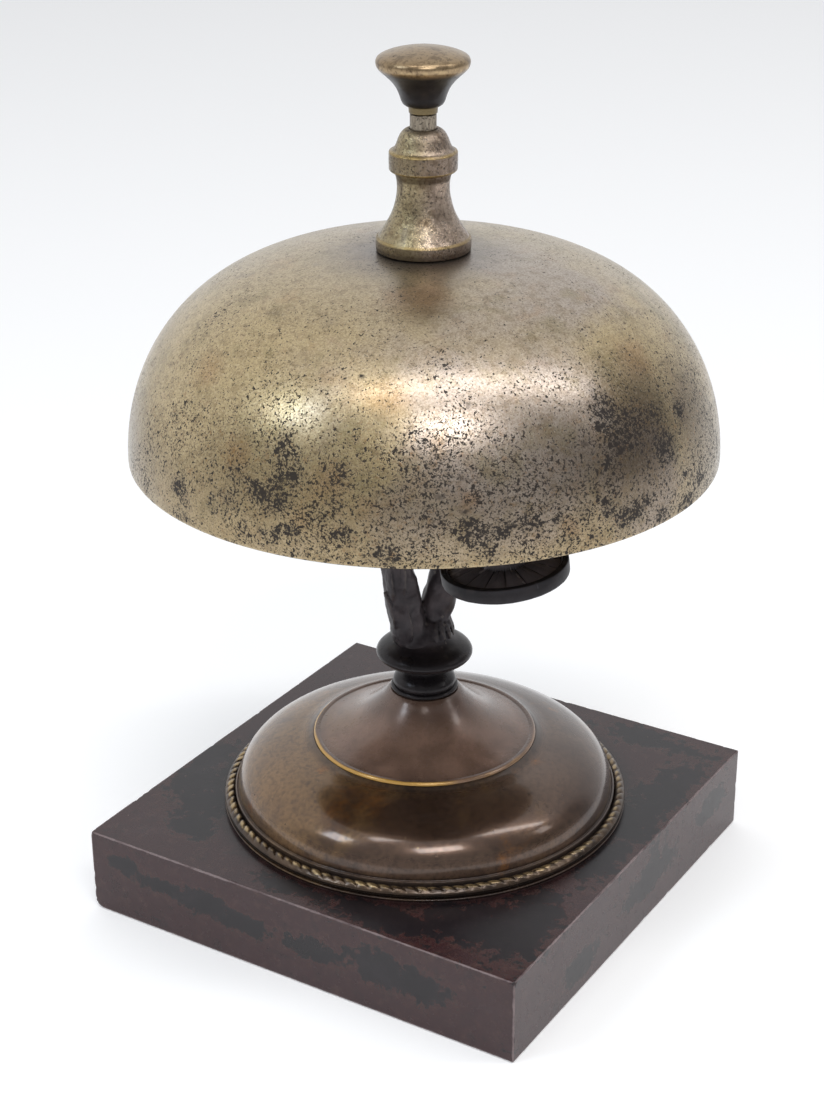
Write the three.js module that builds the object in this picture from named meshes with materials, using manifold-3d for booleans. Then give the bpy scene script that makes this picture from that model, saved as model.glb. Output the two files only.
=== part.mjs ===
// Counter service bell: square stone plinth, domed bronze foot, forked stem,
// clamped bell, and a push plunger that rocks a striker against the bell's lip.
// Millimetres, +Z up. Origin at the centre of the plinth's underside.
import * as THREE from 'three';
import { mergeVertices } from 'three/addons/utils/BufferGeometryUtils.js';
import Module from 'manifold-3d';

const wasm = await Module();
wasm.setup();

// ---------------------------------------------------------------- dimensions
const PLINTH_SIDE = 100;
const PLINTH_H = 18;
const PLINTH_CHAMFER = 0.5;
const COUNTERBORE_R = 9.5;
const COUNTERBORE_H = 7;
const ROD_CLEAR_R = 2.3;      // clearance hole for the tie rod
const TIE_ROD_R = 2.0;

const FOOT_R = 42.4;          // rim flange of the foot
const FOOT_BULGE_R = 38.73;
const FOOT_TOP_Z = PLINTH_H + 14.1;
const BEAD_RING_R = 40.9;
const BEAD_R = 1.15;
const CONE_R = 23.2;
const CONE_Z0 = PLINTH_H + 14.4;
const CONE_Z1 = PLINTH_H + 25.1;

const STEM_Z0 = PLINTH_H + 25.3;
const ARM_TOP_Z = 112.7;
const ARM_TOP_Y = 10.5;       // half distance between the two arm tops
const ARM_R = 3.1;

const BELL_R0 = 57.08;        // bell curve: r = R0 cos^(2/a), z = Z0 + H sin^(2/b)
const BELL_Z0 = PLINTH_H + 80.33;
const BELL_H = 38.53;
const BELL_A = 3.03;
const BELL_B = 1.97;
const BELL_LIP_R = 58.0;
const BELL_LIP_Z = PLINTH_H + 78.83;
const BELL_WALL = 2.4;
const BELL_LIP_WALL = 3.0;
const BELL_HOLE_R = 4.3;

const TUBE_R = 4.0;
const TUBE_BORE_R = 3.1;
const TUBE_Z0 = 110.4;
const TUBE_Z1 = 156.0;
const PLATE_Z0 = 113.0;
const PLATE_Z1 = 116.0;

const SLEEVE_Z0 = PLINTH_H + 119.0;
const SLEEVE_Z1 = PLINTH_H + 142.0;
const ROD_R = 2.5;
const ROD_TIP_R = 1.5;
const ROD_TIP_Z = 107.6;
const ROD_SHOULDER_Z = 128.0;
const KNOB_Z0 = PLINTH_H + 144.9;

const HAMMER_TURN = -36.66;   // heading of the hammer from +X, degrees
const PIVOT_X = 11.0;
const PIVOT_Z = 106.0;
const PIVOT_R = 1.5;
const STRIKER_X = 39.6;       // striker centre, outward from the bell's axis
const STRIKER_Z = 88.45;      // its top rim plane
const STRIKER_R = 11.9;
const STRIKER_H = 3.0;
const STRIKER_ROLL = 7.0;     // the disc sits a little rolled on its arm, degrees

// ------------------------------------------------------------------ helpers
function clean(geometry) {
  let g = geometry.clone();
  for (const name of Object.keys(g.attributes)) if (name !== 'position') g.deleteAttribute(name);
  g.clearGroups();
  g = mergeVertices(g, 1e-4);
  const index = g.index.array, p = g.attributes.position.array, keep = [];
  let volume = 0;
  for (let i = 0; i < index.length; i += 3) {
    const a = index[i], b = index[i + 1], c = index[i + 2];
    if (a === b || b === c || a === c) continue;
    keep.push(a, b, c);
    const [ax, ay, az, bx, by, bz, cx, cy, cz] = [a, b, c].flatMap((k) => [p[3 * k], p[3 * k + 1], p[3 * k + 2]]);
    volume += ax * (by * cz - bz * cy) + ay * (bz * cx - bx * cz) + az * (bx * cy - by * cx);
  }
  if (volume < 0) for (let i = 0; i < keep.length; i += 3) [keep[i + 1], keep[i + 2]] = [keep[i + 2], keep[i + 1]];
  const used = new Map(), xyz = [], tri = [];
  for (const k of keep) {
    if (!used.has(k)) { used.set(k, used.size); xyz.push(p[3 * k], p[3 * k + 1], p[3 * k + 2]); }
    tri.push(used.get(k));
  }
  const out = new THREE.BufferGeometry();
  out.setAttribute('position', new THREE.BufferAttribute(new Float32Array(xyz), 3));
  out.setIndex(tri);
  return out;
}
function solid(geometry) {
  const g = clean(geometry);
  return new wasm.Manifold(new wasm.Mesh({
    numProp: 3,
    vertProperties: new Float32Array(g.attributes.position.array),
    triVerts: new Uint32Array(g.index.array),
  }));
}
function geometryOf(manifold) {
  const m = manifold.getMesh();
  const g = new THREE.BufferGeometry();
  const n = m.vertProperties.length / m.numProp, xyz = new Float32Array(n * 3);
  for (let i = 0; i < n; i++) for (let k = 0; k < 3; k++) xyz[3 * i + k] = m.vertProperties[i * m.numProp + k];
  g.setAttribute('position', new THREE.BufferAttribute(xyz, 3));
  g.setIndex(new THREE.BufferAttribute(new Uint32Array(m.triVerts), 1));
  return g;
}
// closed profile [[r, z], ...] turned about the Z axis
function lathe(profile, segments) {
  const pts = profile.map(([r, z]) => new THREE.Vector2(r, z));
  if (profile[0][0] > 0 || profile[profile.length - 1][0] > 0) pts.push(pts[0].clone());
  return new THREE.LatheGeometry(pts, segments).rotateX(Math.PI / 2);
}
function cyl(r, z0, z1, segments = 24, r1 = r) {
  return new THREE.CylinderGeometry(r1, r, z1 - z0, segments).rotateX(Math.PI / 2).translate(0, 0, (z0 + z1) / 2);
}
function cylY(r, y0, y1, x, z, segments = 24) {
  return new THREE.CylinderGeometry(r, r, y1 - y0, segments).translate(x, (y0 + y1) / 2, z);
}
function ringZ(rOut, rIn, z0, z1, segments = 24) {
  return lathe([[rIn, z0], [rOut, z0], [rOut, z1], [rIn, z1]], segments);
}
function plate(points, z0, z1, bevel = 0) {
  const g = new THREE.ExtrudeGeometry(new THREE.Shape(points.map(([x, y]) => new THREE.Vector2(x, y))), {
    depth: z1 - z0 - 2 * bevel, bevelEnabled: bevel > 0, bevelThickness: bevel, bevelSize: bevel, bevelOffset: -bevel, bevelSegments: 1,
  });
  return g.translate(0, 0, z0 + bevel);
}
function roundedRect(x0, y0, x1, y1, r, n = 4) {
  const out = [];
  const corners = [[x1 - r, y0 + r, -90], [x1 - r, y1 - r, 0], [x0 + r, y1 - r, 90], [x0 + r, y0 + r, 180]];
  for (const [cx, cy, a0] of corners) for (let i = 0; i <= n; i++) {
    const a = THREE.MathUtils.degToRad(a0 + (90 * i) / n);
    out.push([cx + r * Math.cos(a), cy + r * Math.sin(a)]);
  }
  return out;
}
function hexNut(acrossFlats, hole, z0, z1) {
  const r = acrossFlats / Math.sqrt(3);
  return geometryOf(solid(cyl(r, z0, z1, 6)).subtract(solid(cyl(hole, z0 - 1, z1 + 1, 24))));
}
// closed limb of oval section along a curve in the YZ plane; stations [[y, z, ry, rx], ...]
function limb(stations, around = 12, steps = 11) {
  const curve = new THREE.CatmullRomCurve3(stations.map(([y, z]) => new THREE.Vector3(0, y, z)), false, 'centripetal');
  const size = new THREE.CatmullRomCurve3(stations.map(([, , ry, rx], i) => new THREE.Vector3(ry, rx, i)), false, 'centripetal');
  const g = new THREE.CylinderGeometry(1, 1, 1, around, steps);
  const p = g.attributes.position, v = new THREE.Vector3();
  for (let i = 0; i < p.count; i++) {
    v.fromBufferAttribute(p, i);
    const t = Math.min(1, Math.max(0, v.y + 0.5));
    const c = curve.getPoint(t), d = curve.getTangent(t), s = size.getPoint(t);
    const side = new THREE.Vector3(0, d.z, -d.y).normalize();
    c.addScaledVector(side, v.x * s.x);
    c.x += v.z * s.y;
    p.setXYZ(i, c.x, c.y, c.z);
  }
  return g;
}
const bell = (t) => [BELL_R0 * Math.cos(t) ** (2 / BELL_A), BELL_Z0 + BELL_H * Math.sin(t) ** (2 / BELL_B)];

const group = new THREE.Group();
const mechanism = new THREE.Group();      // +X here is the hammer's heading
mechanism.rotation.z = THREE.MathUtils.degToRad(HAMMER_TURN);
group.add(mechanism);
const striker = new THREE.Group();        // the striker's own tilted frame
striker.position.set(STRIKER_X, 0, STRIKER_Z);
{
  const a = THREE.MathUtils.degToRad(21.4);
  striker.quaternion.setFromAxisAngle(new THREE.Vector3(Math.cos(a), -Math.sin(a), 0), THREE.MathUtils.degToRad(STRIKER_ROLL));
}
mechanism.add(striker);

const LOOKS = {
  stone: [0x3b2f33, 0.28, 0.0],
  bronze: [0x5a4632, 0.38, 0.9],
  gilt: [0x8c713c, 0.35, 0.95],
  dark: [0x2a292b, 0.5, 0.7],
  bell: [0x8d8469, 0.35, 0.95],
  steel: [0x6e6d69, 0.4, 0.9],
  brass: [0x8f7a45, 0.4, 0.9],
  fibre: [0x4a2f22, 0.8, 0.0],
};
function add(name, geometry, look, parent = group) {
  const [color, roughness, metalness] = LOOKS[look];
  const g = clean(geometry);
  g.computeVertexNormals();
  const mesh = new THREE.Mesh(g, new THREE.MeshStandardMaterial({ color, roughness, metalness, flatShading: true }));
  mesh.name = name;
  parent.add(mesh);
  return mesh;
}

// ------------------------------------------------------------------- plinth
{
  const h = PLINTH_SIDE / 2;
  let m = solid(plate(roundedRect(-h, -h, h, h, 0.8, 3), 0, PLINTH_H, PLINTH_CHAMFER));
  m = m.subtract(solid(cyl(COUNTERBORE_R, -1, COUNTERBORE_H, 32)));
  m = m.subtract(solid(cyl(ROD_CLEAR_R, COUNTERBORE_H - 1, PLINTH_H + 1, 20)));
  add('plinth', geometryOf(m), 'stone');
}
add('tie_rod', cyl(TIE_ROD_R, 1.4, STEM_Z0 + 14.0, 20), 'steel');
add('base_washer', ringZ(7.5, ROD_CLEAR_R, 5.7, 6.7), 'steel');
add('base_nut', hexNut(7, ROD_CLEAR_R, 2.3, 5.4), 'steel');

// --------------------------------------------------------------------- foot
{
  const z = PLINTH_H;
  const bulge = [[38.4, z + 2.2]];
  const n = 7;
  for (let i = 0; i <= n; i++) {
    const t = ((i / n) * Math.PI) / 2;
    bulge.push([19 + (FOOT_BULGE_R - 19) * Math.cos(t), z + 5.6 + (14.1 - 5.6) * Math.sin(t)]);
  }
  const inner = [[ROD_CLEAR_R, z + 14.1], [ROD_CLEAR_R, z + 11.9], [20, z + 11.9], [30, z + 9.9], [35.4, z + 6.4], [36.6, z + 0.05]];
  // the flange carries a shallow channel for the bead ring
  const flange = [[42.4, z + 0.05], [42.4, z + 0.75], [39.4, z + 0.4], [38.9, z + 0.9]];
  add('foot_dish', lathe([...flange, ...bulge, ...inner], 36), 'bronze');
}
{
  const ring = [];
  for (let i = 0; i < 6; i++) {
    const a = (i / 6) * 2 * Math.PI + Math.PI / 6;
    ring.push([BEAD_RING_R + BEAD_R * Math.cos(a), PLINTH_H + 1.95 + BEAD_R * Math.sin(a)]);
  }
  add('bead_ring', lathe(ring, 48), 'gilt');
}
{
  const z = PLINTH_H;
  const outer = [[CONE_R, CONE_Z0], [CONE_R, z + 15.1], [22.3, z + 15.45], [19, z + 16.2], [15, z + 18.1], [11.5, z + 20.7], [9.0, z + 23.1], [7.1, CONE_Z1]];
  const inner = [[ROD_CLEAR_R, CONE_Z1], [ROD_CLEAR_R, z + 22.6], [6.0, z + 22.4], [10.5, z + 18.2], [19, CONE_Z0]];
  add('foot_cone', lathe([...outer, ...inner], 36), 'bronze');
}

// --------------------------------------------------------------- stem, fork
{
  const z = PLINTH_H;
  const turned = [[0, STEM_Z0], [6.95, STEM_Z0], [6.95, z + 26.0], [6.0, z + 26.6], [5.8, z + 28.0], [4.75, z + 29.4],
    [5.2, z + 30.7], [9.0, z + 32.1], [9.92, z + 33.4], [9.3, z + 34.7], [6.6, z + 36.2], [5.6, z + 38.5], [4.9, z + 40.6], [0, z + 41.0]];
  let m = solid(lathe(turned, 28));
  const left = limb([[-2.2, z + 33.5, 3.4, 3.6], [-3.2, z + 38, 3.7, 3.9], [-4.5, z + 45, 3.7, 3.6], [-5.5, z + 51.6, 3.5, 3.4], [-6.4, z + 62, 3.2, 3.2], [-8.3, z + 74, ARM_R, ARM_R], [-10.0, z + 86, ARM_R, ARM_R], [-ARM_TOP_Y, ARM_TOP_Z, ARM_R, ARM_R]]);
  const right = limb([[1.8, z + 35.5, 2.2, 2.4], [2.4, z + 40.5, 2.8, 3.0], [3.3, z + 45, 3.7, 3.4], [5.5, z + 52, 3.5, 3.3], [7.8, z + 62, 3.2, 3.1], [9.4, z + 74, ARM_R, ARM_R], [10.3, z + 86, ARM_R, ARM_R], [ARM_TOP_Y, ARM_TOP_Z, ARM_R, ARM_R]]);
  m = m.add(solid(left)).add(solid(right));
  m = m.subtract(solid(cyl(ROD_CLEAR_R, STEM_Z0 - 1, STEM_Z0 + 14.4, 20)));
  for (const s of [-1, 1]) m = m.subtract(solid(cyl(1.6, ARM_TOP_Z - 8, ARM_TOP_Z + 1, 16).translate(0, s * ARM_TOP_Y, 0)));
  add('stem_fork', geometryOf(m), 'dark', mechanism);
}

// ---------------------------------------------------------------- mechanism
{
  const outline = [[-4, -14], [4, -14], [5.5, -10], [7, -8.6], [15.2, -8.6], [15.2, 8.6], [7, 8.6], [5.5, 10], [4, 14], [-4, 14], [-6.6, 6], [-6.6, -6]];
  let m = solid(plate(outline, PLATE_Z0, PLATE_Z1, 0.4));
  for (const s of [-1, 1]) {
    const y0 = s > 0 ? 5.8 : -7.6, y1 = y0 + 1.8;
    m = m.add(solid(cylY(4.1, y0, y1, PIVOT_X, PIVOT_Z, 24)));
    m = m.add(solid(new THREE.BoxGeometry(8.2, 1.8, 8.2).translate(PIVOT_X, (y0 + y1) / 2, PIVOT_Z + 4.1)));
    m = m.subtract(solid(cyl(1.65, PLATE_Z0 - 1, PLATE_Z1 + 1, 16).translate(0, s * ARM_TOP_Y, 0)));
  }
  m = m.subtract(solid(cylY(PIVOT_R + 0.1, -12, 12, PIVOT_X, PIVOT_Z, 24)));
  m = m.subtract(solid(cyl(TUBE_R + 0.3, PLATE_Z0 - 1, PLATE_Z1 + 1, 28)));
  add('mechanism_bracket', geometryOf(m), 'steel', mechanism);
}
for (const [name, s] of [['bracket_screw_left', -1], ['bracket_screw_right', 1]]) {
  const profile = [[0, ARM_TOP_Z - 6.5], [1.4, ARM_TOP_Z - 6.5], [1.4, PLATE_Z1 + 0.2], [2.7, PLATE_Z1 + 0.2], [2.7, PLATE_Z1 + 1.7], [2.2, PLATE_Z1 + 2.1], [0, PLATE_Z1 + 2.1]];
  const m = solid(lathe(profile, 20)).subtract(solid(new THREE.BoxGeometry(0.7, 7, 1).translate(0, 0, PLATE_Z1 + 1.85)));
  add(name, geometryOf(m).translate(0, s * ARM_TOP_Y, 0), 'steel', mechanism);
}
add('guide_tube', ringZ(TUBE_R, TUBE_BORE_R, TUBE_Z0, TUBE_Z1), 'steel', mechanism);
add('lock_nut_lower', hexNut(11.2, TUBE_R + 0.2, 110.7, 112.8), 'steel', mechanism);
add('lock_nut_upper', hexNut(11.2, TUBE_R + 0.2, 116.2, 119.0), 'steel', mechanism);
add('spring_seat', ringZ(TUBE_BORE_R - 0.2, ROD_TIP_R + 0.1, TUBE_Z0 + 0.2, TUBE_Z0 + 3.2, 24), 'brass', mechanism);
add('bell_seat_nut', hexNut(16, TUBE_R + 0.2, 128.6, 132.2), 'steel', mechanism);
add('lower_washer', ringZ(10, TUBE_R + 0.3, 132.4, 134.0), 'fibre');

// --------------------------------------------------------------------- bell
{
  const outer = [[BELL_LIP_R - 0.6, BELL_LIP_Z], [BELL_LIP_R, BELL_LIP_Z + 0.5], [57.5, BELL_LIP_Z + 2.2]];
  const inner = [[BELL_LIP_R - BELL_LIP_WALL, BELL_LIP_Z], [54.85, BELL_LIP_Z + 2.2]];
  const n = 9;
  for (let i = 1; i <= n; i++) {
    const t = ((i / n) ** 1.05) * (Math.PI / 2) * 0.995 + 0.004;
    const [r, z] = bell(t);
    const [r2, z2] = bell(Math.min(t + 0.002, Math.PI / 2)), [r1, z1] = bell(t - 0.002);
    const d = Math.hypot(r2 - r1, z2 - z1), nr = -(z2 - z1) / d, nz = (r2 - r1) / d;
    if (r > BELL_HOLE_R + 1) outer.push([r, z]);
    const ri = r + nr * BELL_WALL, zi = z + nz * BELL_WALL;
    if (ri > BELL_HOLE_R + 1 && zi > BELL_LIP_Z + 4) inner.push([ri, zi]);
  }
  outer.push([BELL_HOLE_R, BELL_Z0 + BELL_H - 0.02]);
  inner.push([BELL_HOLE_R, BELL_Z0 + BELL_H - BELL_WALL]);
  add('bell_dome', lathe([...outer, ...inner.reverse()], 48), 'bell');
}
add('upper_washer', ringZ(7.3, TUBE_R + 0.3, PLINTH_H + 119.05, PLINTH_H + 119.8), 'fibre');
{
  const z = PLINTH_H;
  const outer = [[9.0, SLEEVE_Z0], [9.05, z + 121.3], [8.9, z + 122.0], [7.2, z + 124.5], [6.0, z + 126.4], [5.15, z + 129.5], [5.17, z + 132.4],
    [5.6, z + 133.9], [6.5, z + 135.0], [6.45, z + 137.4], [5.6, z + 139.0], [4.6, z + 140.4], [2.9, SLEEVE_Z1]];
  const inner = [[ROD_R + 0.12, SLEEVE_Z1], [ROD_R + 0.12, z + 138.6], [TUBE_R + 0.3, z + 138.6], [TUBE_R + 0.3, z + 120.1], [7.6, z + 120.1], [7.6, SLEEVE_Z0]];
  add('sleeve_finial', lathe([...outer, ...inner], 24), 'bell');
}

// ------------------------------------------------------------------ plunger
add('plunger_rod', lathe([[0, ROD_TIP_Z], [0.8, ROD_TIP_Z + 0.25], [1.3, ROD_TIP_Z + 0.8], [ROD_TIP_R, ROD_TIP_Z + 1.5], [ROD_TIP_R, ROD_SHOULDER_Z], [ROD_R, ROD_SHOULDER_Z],
  [ROD_R, KNOB_Z0 - 0.2], [1.5, KNOB_Z0 - 0.2], [1.5, KNOB_Z0 + 5.6], [0, KNOB_Z0 + 5.6]], 24), 'steel');
add('spring_washer', ringZ(TUBE_BORE_R - 0.25, ROD_TIP_R + 0.2, ROD_SHOULDER_Z - 1.0, ROD_SHOULDER_Z - 0.2, 24), 'brass');
add('stop_clip', ringZ(3.6, ROD_TIP_R + 0.15, 109.3, 110.1, 24), 'steel');
{
  const z = PLINTH_H;
  add('push_knob', lathe([[1.7, KNOB_Z0], [2.75, KNOB_Z0], [2.75, z + 146.2], [4.0, z + 146.9], [4.6, z + 148.7], [6.2, z + 151.1], [8.4, z + 153.2], [8.77, z + 154.3],
    [8.3, z + 155.3], [6.2, z + 156.3], [3.5, z + 156.9], [0, z + 157.1], [0, KNOB_Z0 + 6.0], [1.7, KNOB_Z0 + 6.0]], 24), 'bell');
}
{
  const r = 2.25, wire = 0.3, z0 = TUBE_Z0 + 3.2 + 0.15 + wire, z1 = ROD_SHOULDER_Z - 1.0 - 0.15 - wire, turns = 6;
  class Coil extends THREE.Curve {
    getPoint(t, out = new THREE.Vector3()) {
      const a = t * turns * 2 * Math.PI;
      return out.set(r * Math.cos(a), r * Math.sin(a), z0 + (z1 - z0) * t);
    }
  }
  const section = new THREE.Shape();
  for (let i = 0; i < 5; i++) {
    const a = (i / 5) * 2 * Math.PI;
    if (i === 0) section.moveTo(wire * Math.cos(a), wire * Math.sin(a)); else section.lineTo(wire * Math.cos(a), wire * Math.sin(a));
  }
  section.closePath();
  add('return_spring', new THREE.ExtrudeGeometry(section, { steps: turns * 10, extrudePath: new Coil(), bevelEnabled: false, curveSegments: 1 }), 'steel');
}

// ------------------------------------------------------------------- hammer
{
  const side = new THREE.Shape([[-2.8, 105.3], [6, 104.2], [11, 102.8], [14.2, 103.2], [24, 96.4], [32, 92.4], [37, 91.7], [37, 94.3], [33, 95.0], [25.5, 99.2], [16, 106.4], [13.6, 108.6], [11, 109.3], [8.2, 108.4], [6, 107.2], [-2.8, 107.3]].map(([x, z]) => new THREE.Vector2(x, z)));
  let m = solid(new THREE.ExtrudeGeometry(side, { depth: 3.6, bevelEnabled: false }).rotateX(Math.PI / 2).translate(0, 1.8, 0));
  m = m.add(solid(cylY(3.3, -5.5, 5.5, PIVOT_X, PIVOT_Z, 24)));
  // the eye that carries the striker, in the striker's tilted frame
  const eye = cyl(4.3, 3.1, 5.9, 24), hole = cyl(2.0, -2, 12, 20);
  striker.updateMatrix();
  eye.applyMatrix4(striker.matrix);
  hole.applyMatrix4(striker.matrix);
  m = m.add(solid(eye)).subtract(solid(hole)).subtract(solid(cylY(PIVOT_R + 0.1, -12, 12, PIVOT_X, PIVOT_Z, 24)));
  add('hammer_lever', geometryOf(m), 'dark', mechanism);
}
{
  const profile = [[2.0, -3.2], [11.3, -STRIKER_H], [STRIKER_R, -2.5], [STRIKER_R, 0], [10.6, 0], [10.2, -0.9], [6.0, 0.5], [4.1, 1.6], [4.1, 2.8], [2.0, 2.8]];
  add('hammer_head', lathe(profile, 28), 'dark', striker);
}
add('striker_stud', lathe([[0, -4.9], [2.0, -4.7], [3.2, -3.9], [3.2, -3.5], [1.7, -3.5], [1.7, 9.4], [0, 9.4]], 20), 'steel', striker);
add('striker_nut', hexNut(5.6, 1.9, 6.5, 8.7), 'steel', striker);
add('pivot_pin', geometryOf(solid(cylY(PIVOT_R, -9.4, 9.4, PIVOT_X, PIVOT_Z, 24)).add(solid(cylY(2.4, -9.4, -8.0, PIVOT_X, PIVOT_Z, 24)))), 'steel', mechanism);
add('pivot_clip', geometryOf(solid(cylY(2.7, 8.0, 8.8, PIVOT_X, PIVOT_Z, 24)).subtract(solid(cylY(PIVOT_R + 0.12, 7, 10, PIVOT_X, PIVOT_Z, 24)))), 'steel', mechanism);

export default group;
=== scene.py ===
import bpy, bmesh, math
import numpy as np
from mathutils import Vector, Matrix, Quaternion, noise


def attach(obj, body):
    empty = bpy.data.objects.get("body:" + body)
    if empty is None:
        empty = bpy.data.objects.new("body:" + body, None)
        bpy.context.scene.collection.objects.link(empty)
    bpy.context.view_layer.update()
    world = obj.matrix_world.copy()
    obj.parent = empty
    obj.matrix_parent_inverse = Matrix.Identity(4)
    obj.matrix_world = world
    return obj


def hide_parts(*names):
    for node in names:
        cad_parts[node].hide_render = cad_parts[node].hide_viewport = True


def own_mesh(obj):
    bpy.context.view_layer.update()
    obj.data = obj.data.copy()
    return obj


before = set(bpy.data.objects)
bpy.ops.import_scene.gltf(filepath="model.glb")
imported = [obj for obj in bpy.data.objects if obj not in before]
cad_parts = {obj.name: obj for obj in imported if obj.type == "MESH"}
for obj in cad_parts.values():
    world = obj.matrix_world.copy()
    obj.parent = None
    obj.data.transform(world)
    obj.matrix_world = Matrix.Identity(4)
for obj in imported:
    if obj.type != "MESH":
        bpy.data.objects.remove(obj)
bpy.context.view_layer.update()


MM = 0.001
T = 18.0                      # height of the plinth; most heights below are counted from its top
TURN = math.radians(-36.66)   # the hammer's heading
MECH = Matrix.Rotation(TURN, 4, "Z")
STRIKER = MECH @ Matrix.Translation(Vector((39.6, 0, 88.45)) * MM) @ Matrix.Rotation(
    math.radians(7.0), 4, Vector((math.cos(math.radians(21.4)), -math.sin(math.radians(21.4)), 0)))
scene = bpy.context.scene

# ------------------------------------------------------------------ camera
cam_data = bpy.data.cameras.new("Camera")
cam = bpy.data.objects.new("Camera", cam_data)
scene.collection.objects.link(cam)
right = Vector((0.84967, 0.527296, -0.004432)).normalized()
ahead = Vector((-0.48071, 0.771093, -0.417532)).normalized()
upward = right.cross(ahead).normalized()
cam.matrix_world = Matrix((
    (right.x, upward.x, -ahead.x, 0.207877),
    (right.y, upward.y, -ahead.y, -0.338101),
    (right.z, upward.z, -ahead.z, 0.256403),
    (0, 0, 0, 1)))
cam_data.sensor_width = 36
cam_data.lens = 70.889
cam_data.clip_start = 0.01
cam_data.clip_end = 50
scene.camera = cam

# ------------------------------------------------------------ mesh helpers


def link(name, mesh):
    o = bpy.data.objects.new(name, mesh)
    scene.collection.objects.link(o)
    return o


def finish_mesh(mesh, angle=35):
    mesh.validate()
    mesh.polygons.foreach_set("use_smooth", [True] * len(mesh.polygons))
    mesh.set_sharp_from_angle(angle=math.radians(angle))
    mesh.update()
    return mesh


def outward(mesh):
    bm = bmesh.new(); bm.from_mesh(mesh)
    bmesh.ops.recalc_face_normals(bm, faces=bm.faces)
    if bm.calc_volume(signed=True) < 0:
        bmesh.ops.reverse_faces(bm, faces=bm.faces)
    bm.to_mesh(mesh); bm.free()


def catmull(points, n=8):
    p = [np.array(q, float) for q in points]
    p = [2 * p[0] - p[1]] + p + [2 * p[-1] - p[-2]]
    out = []
    for i in range(1, len(p) - 2):
        p0, p1, p2, p3 = p[i - 1], p[i], p[i + 1], p[i + 2]
        t0 = 0; t1 = t0 + max(np.linalg.norm(p1 - p0), 1e-6) ** 0.5
        t2 = t1 + max(np.linalg.norm(p2 - p1), 1e-6) ** 0.5
        t3 = t2 + max(np.linalg.norm(p3 - p2), 1e-6) ** 0.5
        for k in range(n):
            t = t1 + (t2 - t1) * k / n
            a1 = (t1 - t) / (t1 - t0) * p0 + (t - t0) / (t1 - t0) * p1
            a2 = (t2 - t) / (t2 - t1) * p1 + (t - t1) / (t2 - t1) * p2
            a3 = (t3 - t) / (t3 - t2) * p2 + (t - t2) / (t3 - t2) * p3
            b1 = (t2 - t) / (t2 - t0) * a1 + (t - t0) / (t2 - t0) * a2
            b2 = (t3 - t) / (t3 - t1) * a2 + (t - t1) / (t3 - t1) * a3
            out.append(tuple((t2 - t) / (t2 - t1) * b1 + (t - t1) / (t2 - t1) * b2))
    out.append(tuple(p[-2]))
    return out


def profile(*items, arc=5):
    """Items are (r, z) or (r, z, fillet radius) corners, or lists of points that a smooth curve runs through."""
    flat = []
    for it in items:
        if isinstance(it, list):
            flat += [(a, b, 0) for a, b in catmull(it)]
        else:
            flat.append((it[0], it[1], it[2] if len(it) > 2 else 0))
    out = []
    n = len(flat)
    for i, (r, z, f) in enumerate(flat):
        if f <= 0:
            out.append((r, z)); continue
        a, b, c = np.array(flat[i - 1][:2]), np.array((r, z)), np.array(flat[(i + 1) % n][:2])
        u, v = a - b, c - b
        lu, lv = np.linalg.norm(u), np.linalg.norm(v)
        u, v = u / lu, v / lv
        cut = min(f, lu * 0.49, lv * 0.49)
        for k in range(arc + 1):
            t = k / arc
            p0, p2 = b + u * cut, b + v * cut
            q = (1 - t) ** 2 * p0 + 2 * t * (1 - t) * b + t * t * p2
            out.append((float(q[0]), float(q[1])))
    return out


def lathe(name, prof, seg=192, wobble=None, angle=35, matrix=None, base=0.0):
    """A closed profile in mm turned about Z. wobble(x, y, z, r) gives a radial offset in mm."""
    pts = []
    for r, z in prof:
        if not pts or abs(pts[-1][0] - r) + abs(pts[-1][1] - z) > 1e-5:
            pts.append((max(r, 0.0), z + base))
    if abs(pts[0][0] - pts[-1][0]) + abs(pts[0][1] - pts[-1][1]) < 1e-5:
        pts.pop()
    co, rings = [], []
    ang = np.linspace(0, 2 * math.pi, seg, endpoint=False)
    ca, sa = np.cos(ang), np.sin(ang)
    for r, z in pts:
        if r < 1e-6:
            rings.append([len(co)]); co.append((0, 0, z))
        else:
            rings.append(list(range(len(co), len(co) + seg)))
            co += [(r * ca[k], r * sa[k], z) for k in range(seg)]
    if wobble:
        new = []
        for x, y, z in co:
            r = math.hypot(x, y)
            if r > 1e-6:
                d = wobble(x, y, z, r)
                new.append((x * (1 + d / r), y * (1 + d / r), z))
            else:
                new.append((x, y, z))
        co = new
    faces = []
    closed = not (pts[0][0] < 1e-6 and pts[-1][0] < 1e-6)
    pairs = list(zip(rings[:-1], rings[1:])) + ([(rings[-1], rings[0])] if closed else [])
    for a, b in pairs:
        if len(a) == 1 and len(b) == 1:
            continue
        for k in range(seg):
            k2 = (k + 1) % seg
            if len(a) == 1:
                faces.append((a[0], b[k2], b[k]))
            elif len(b) == 1:
                faces.append((a[k], a[k2], b[0]))
            else:
                faces.append((a[k], a[k2], b[k2], b[k]))
    mesh = bpy.data.meshes.new(name)
    mesh.from_pydata([tuple(c * MM for c in p) for p in co], [], faces)
    outward(mesh)
    if matrix is not None:
        mesh.transform(matrix)
    finish_mesh(mesh, angle)
    return link(name, mesh)


def evaluated(obj, angle=35):
    """Applies obj's modifiers."""
    dg = bpy.context.evaluated_depsgraph_get()
    dg.update()
    mesh = bpy.data.meshes.new_from_object(obj.evaluated_get(dg))
    obj.modifiers.clear()
    obj.data = mesh
    finish_mesh(mesh, angle)
    return obj


def boolean(obj, other, operation, angle=35):
    m = obj.modifiers.new("b", "BOOLEAN")
    m.object = other; m.operation = operation; m.solver = "EXACT"
    evaluated(obj, angle)
    bpy.data.objects.remove(other)
    return obj


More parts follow.
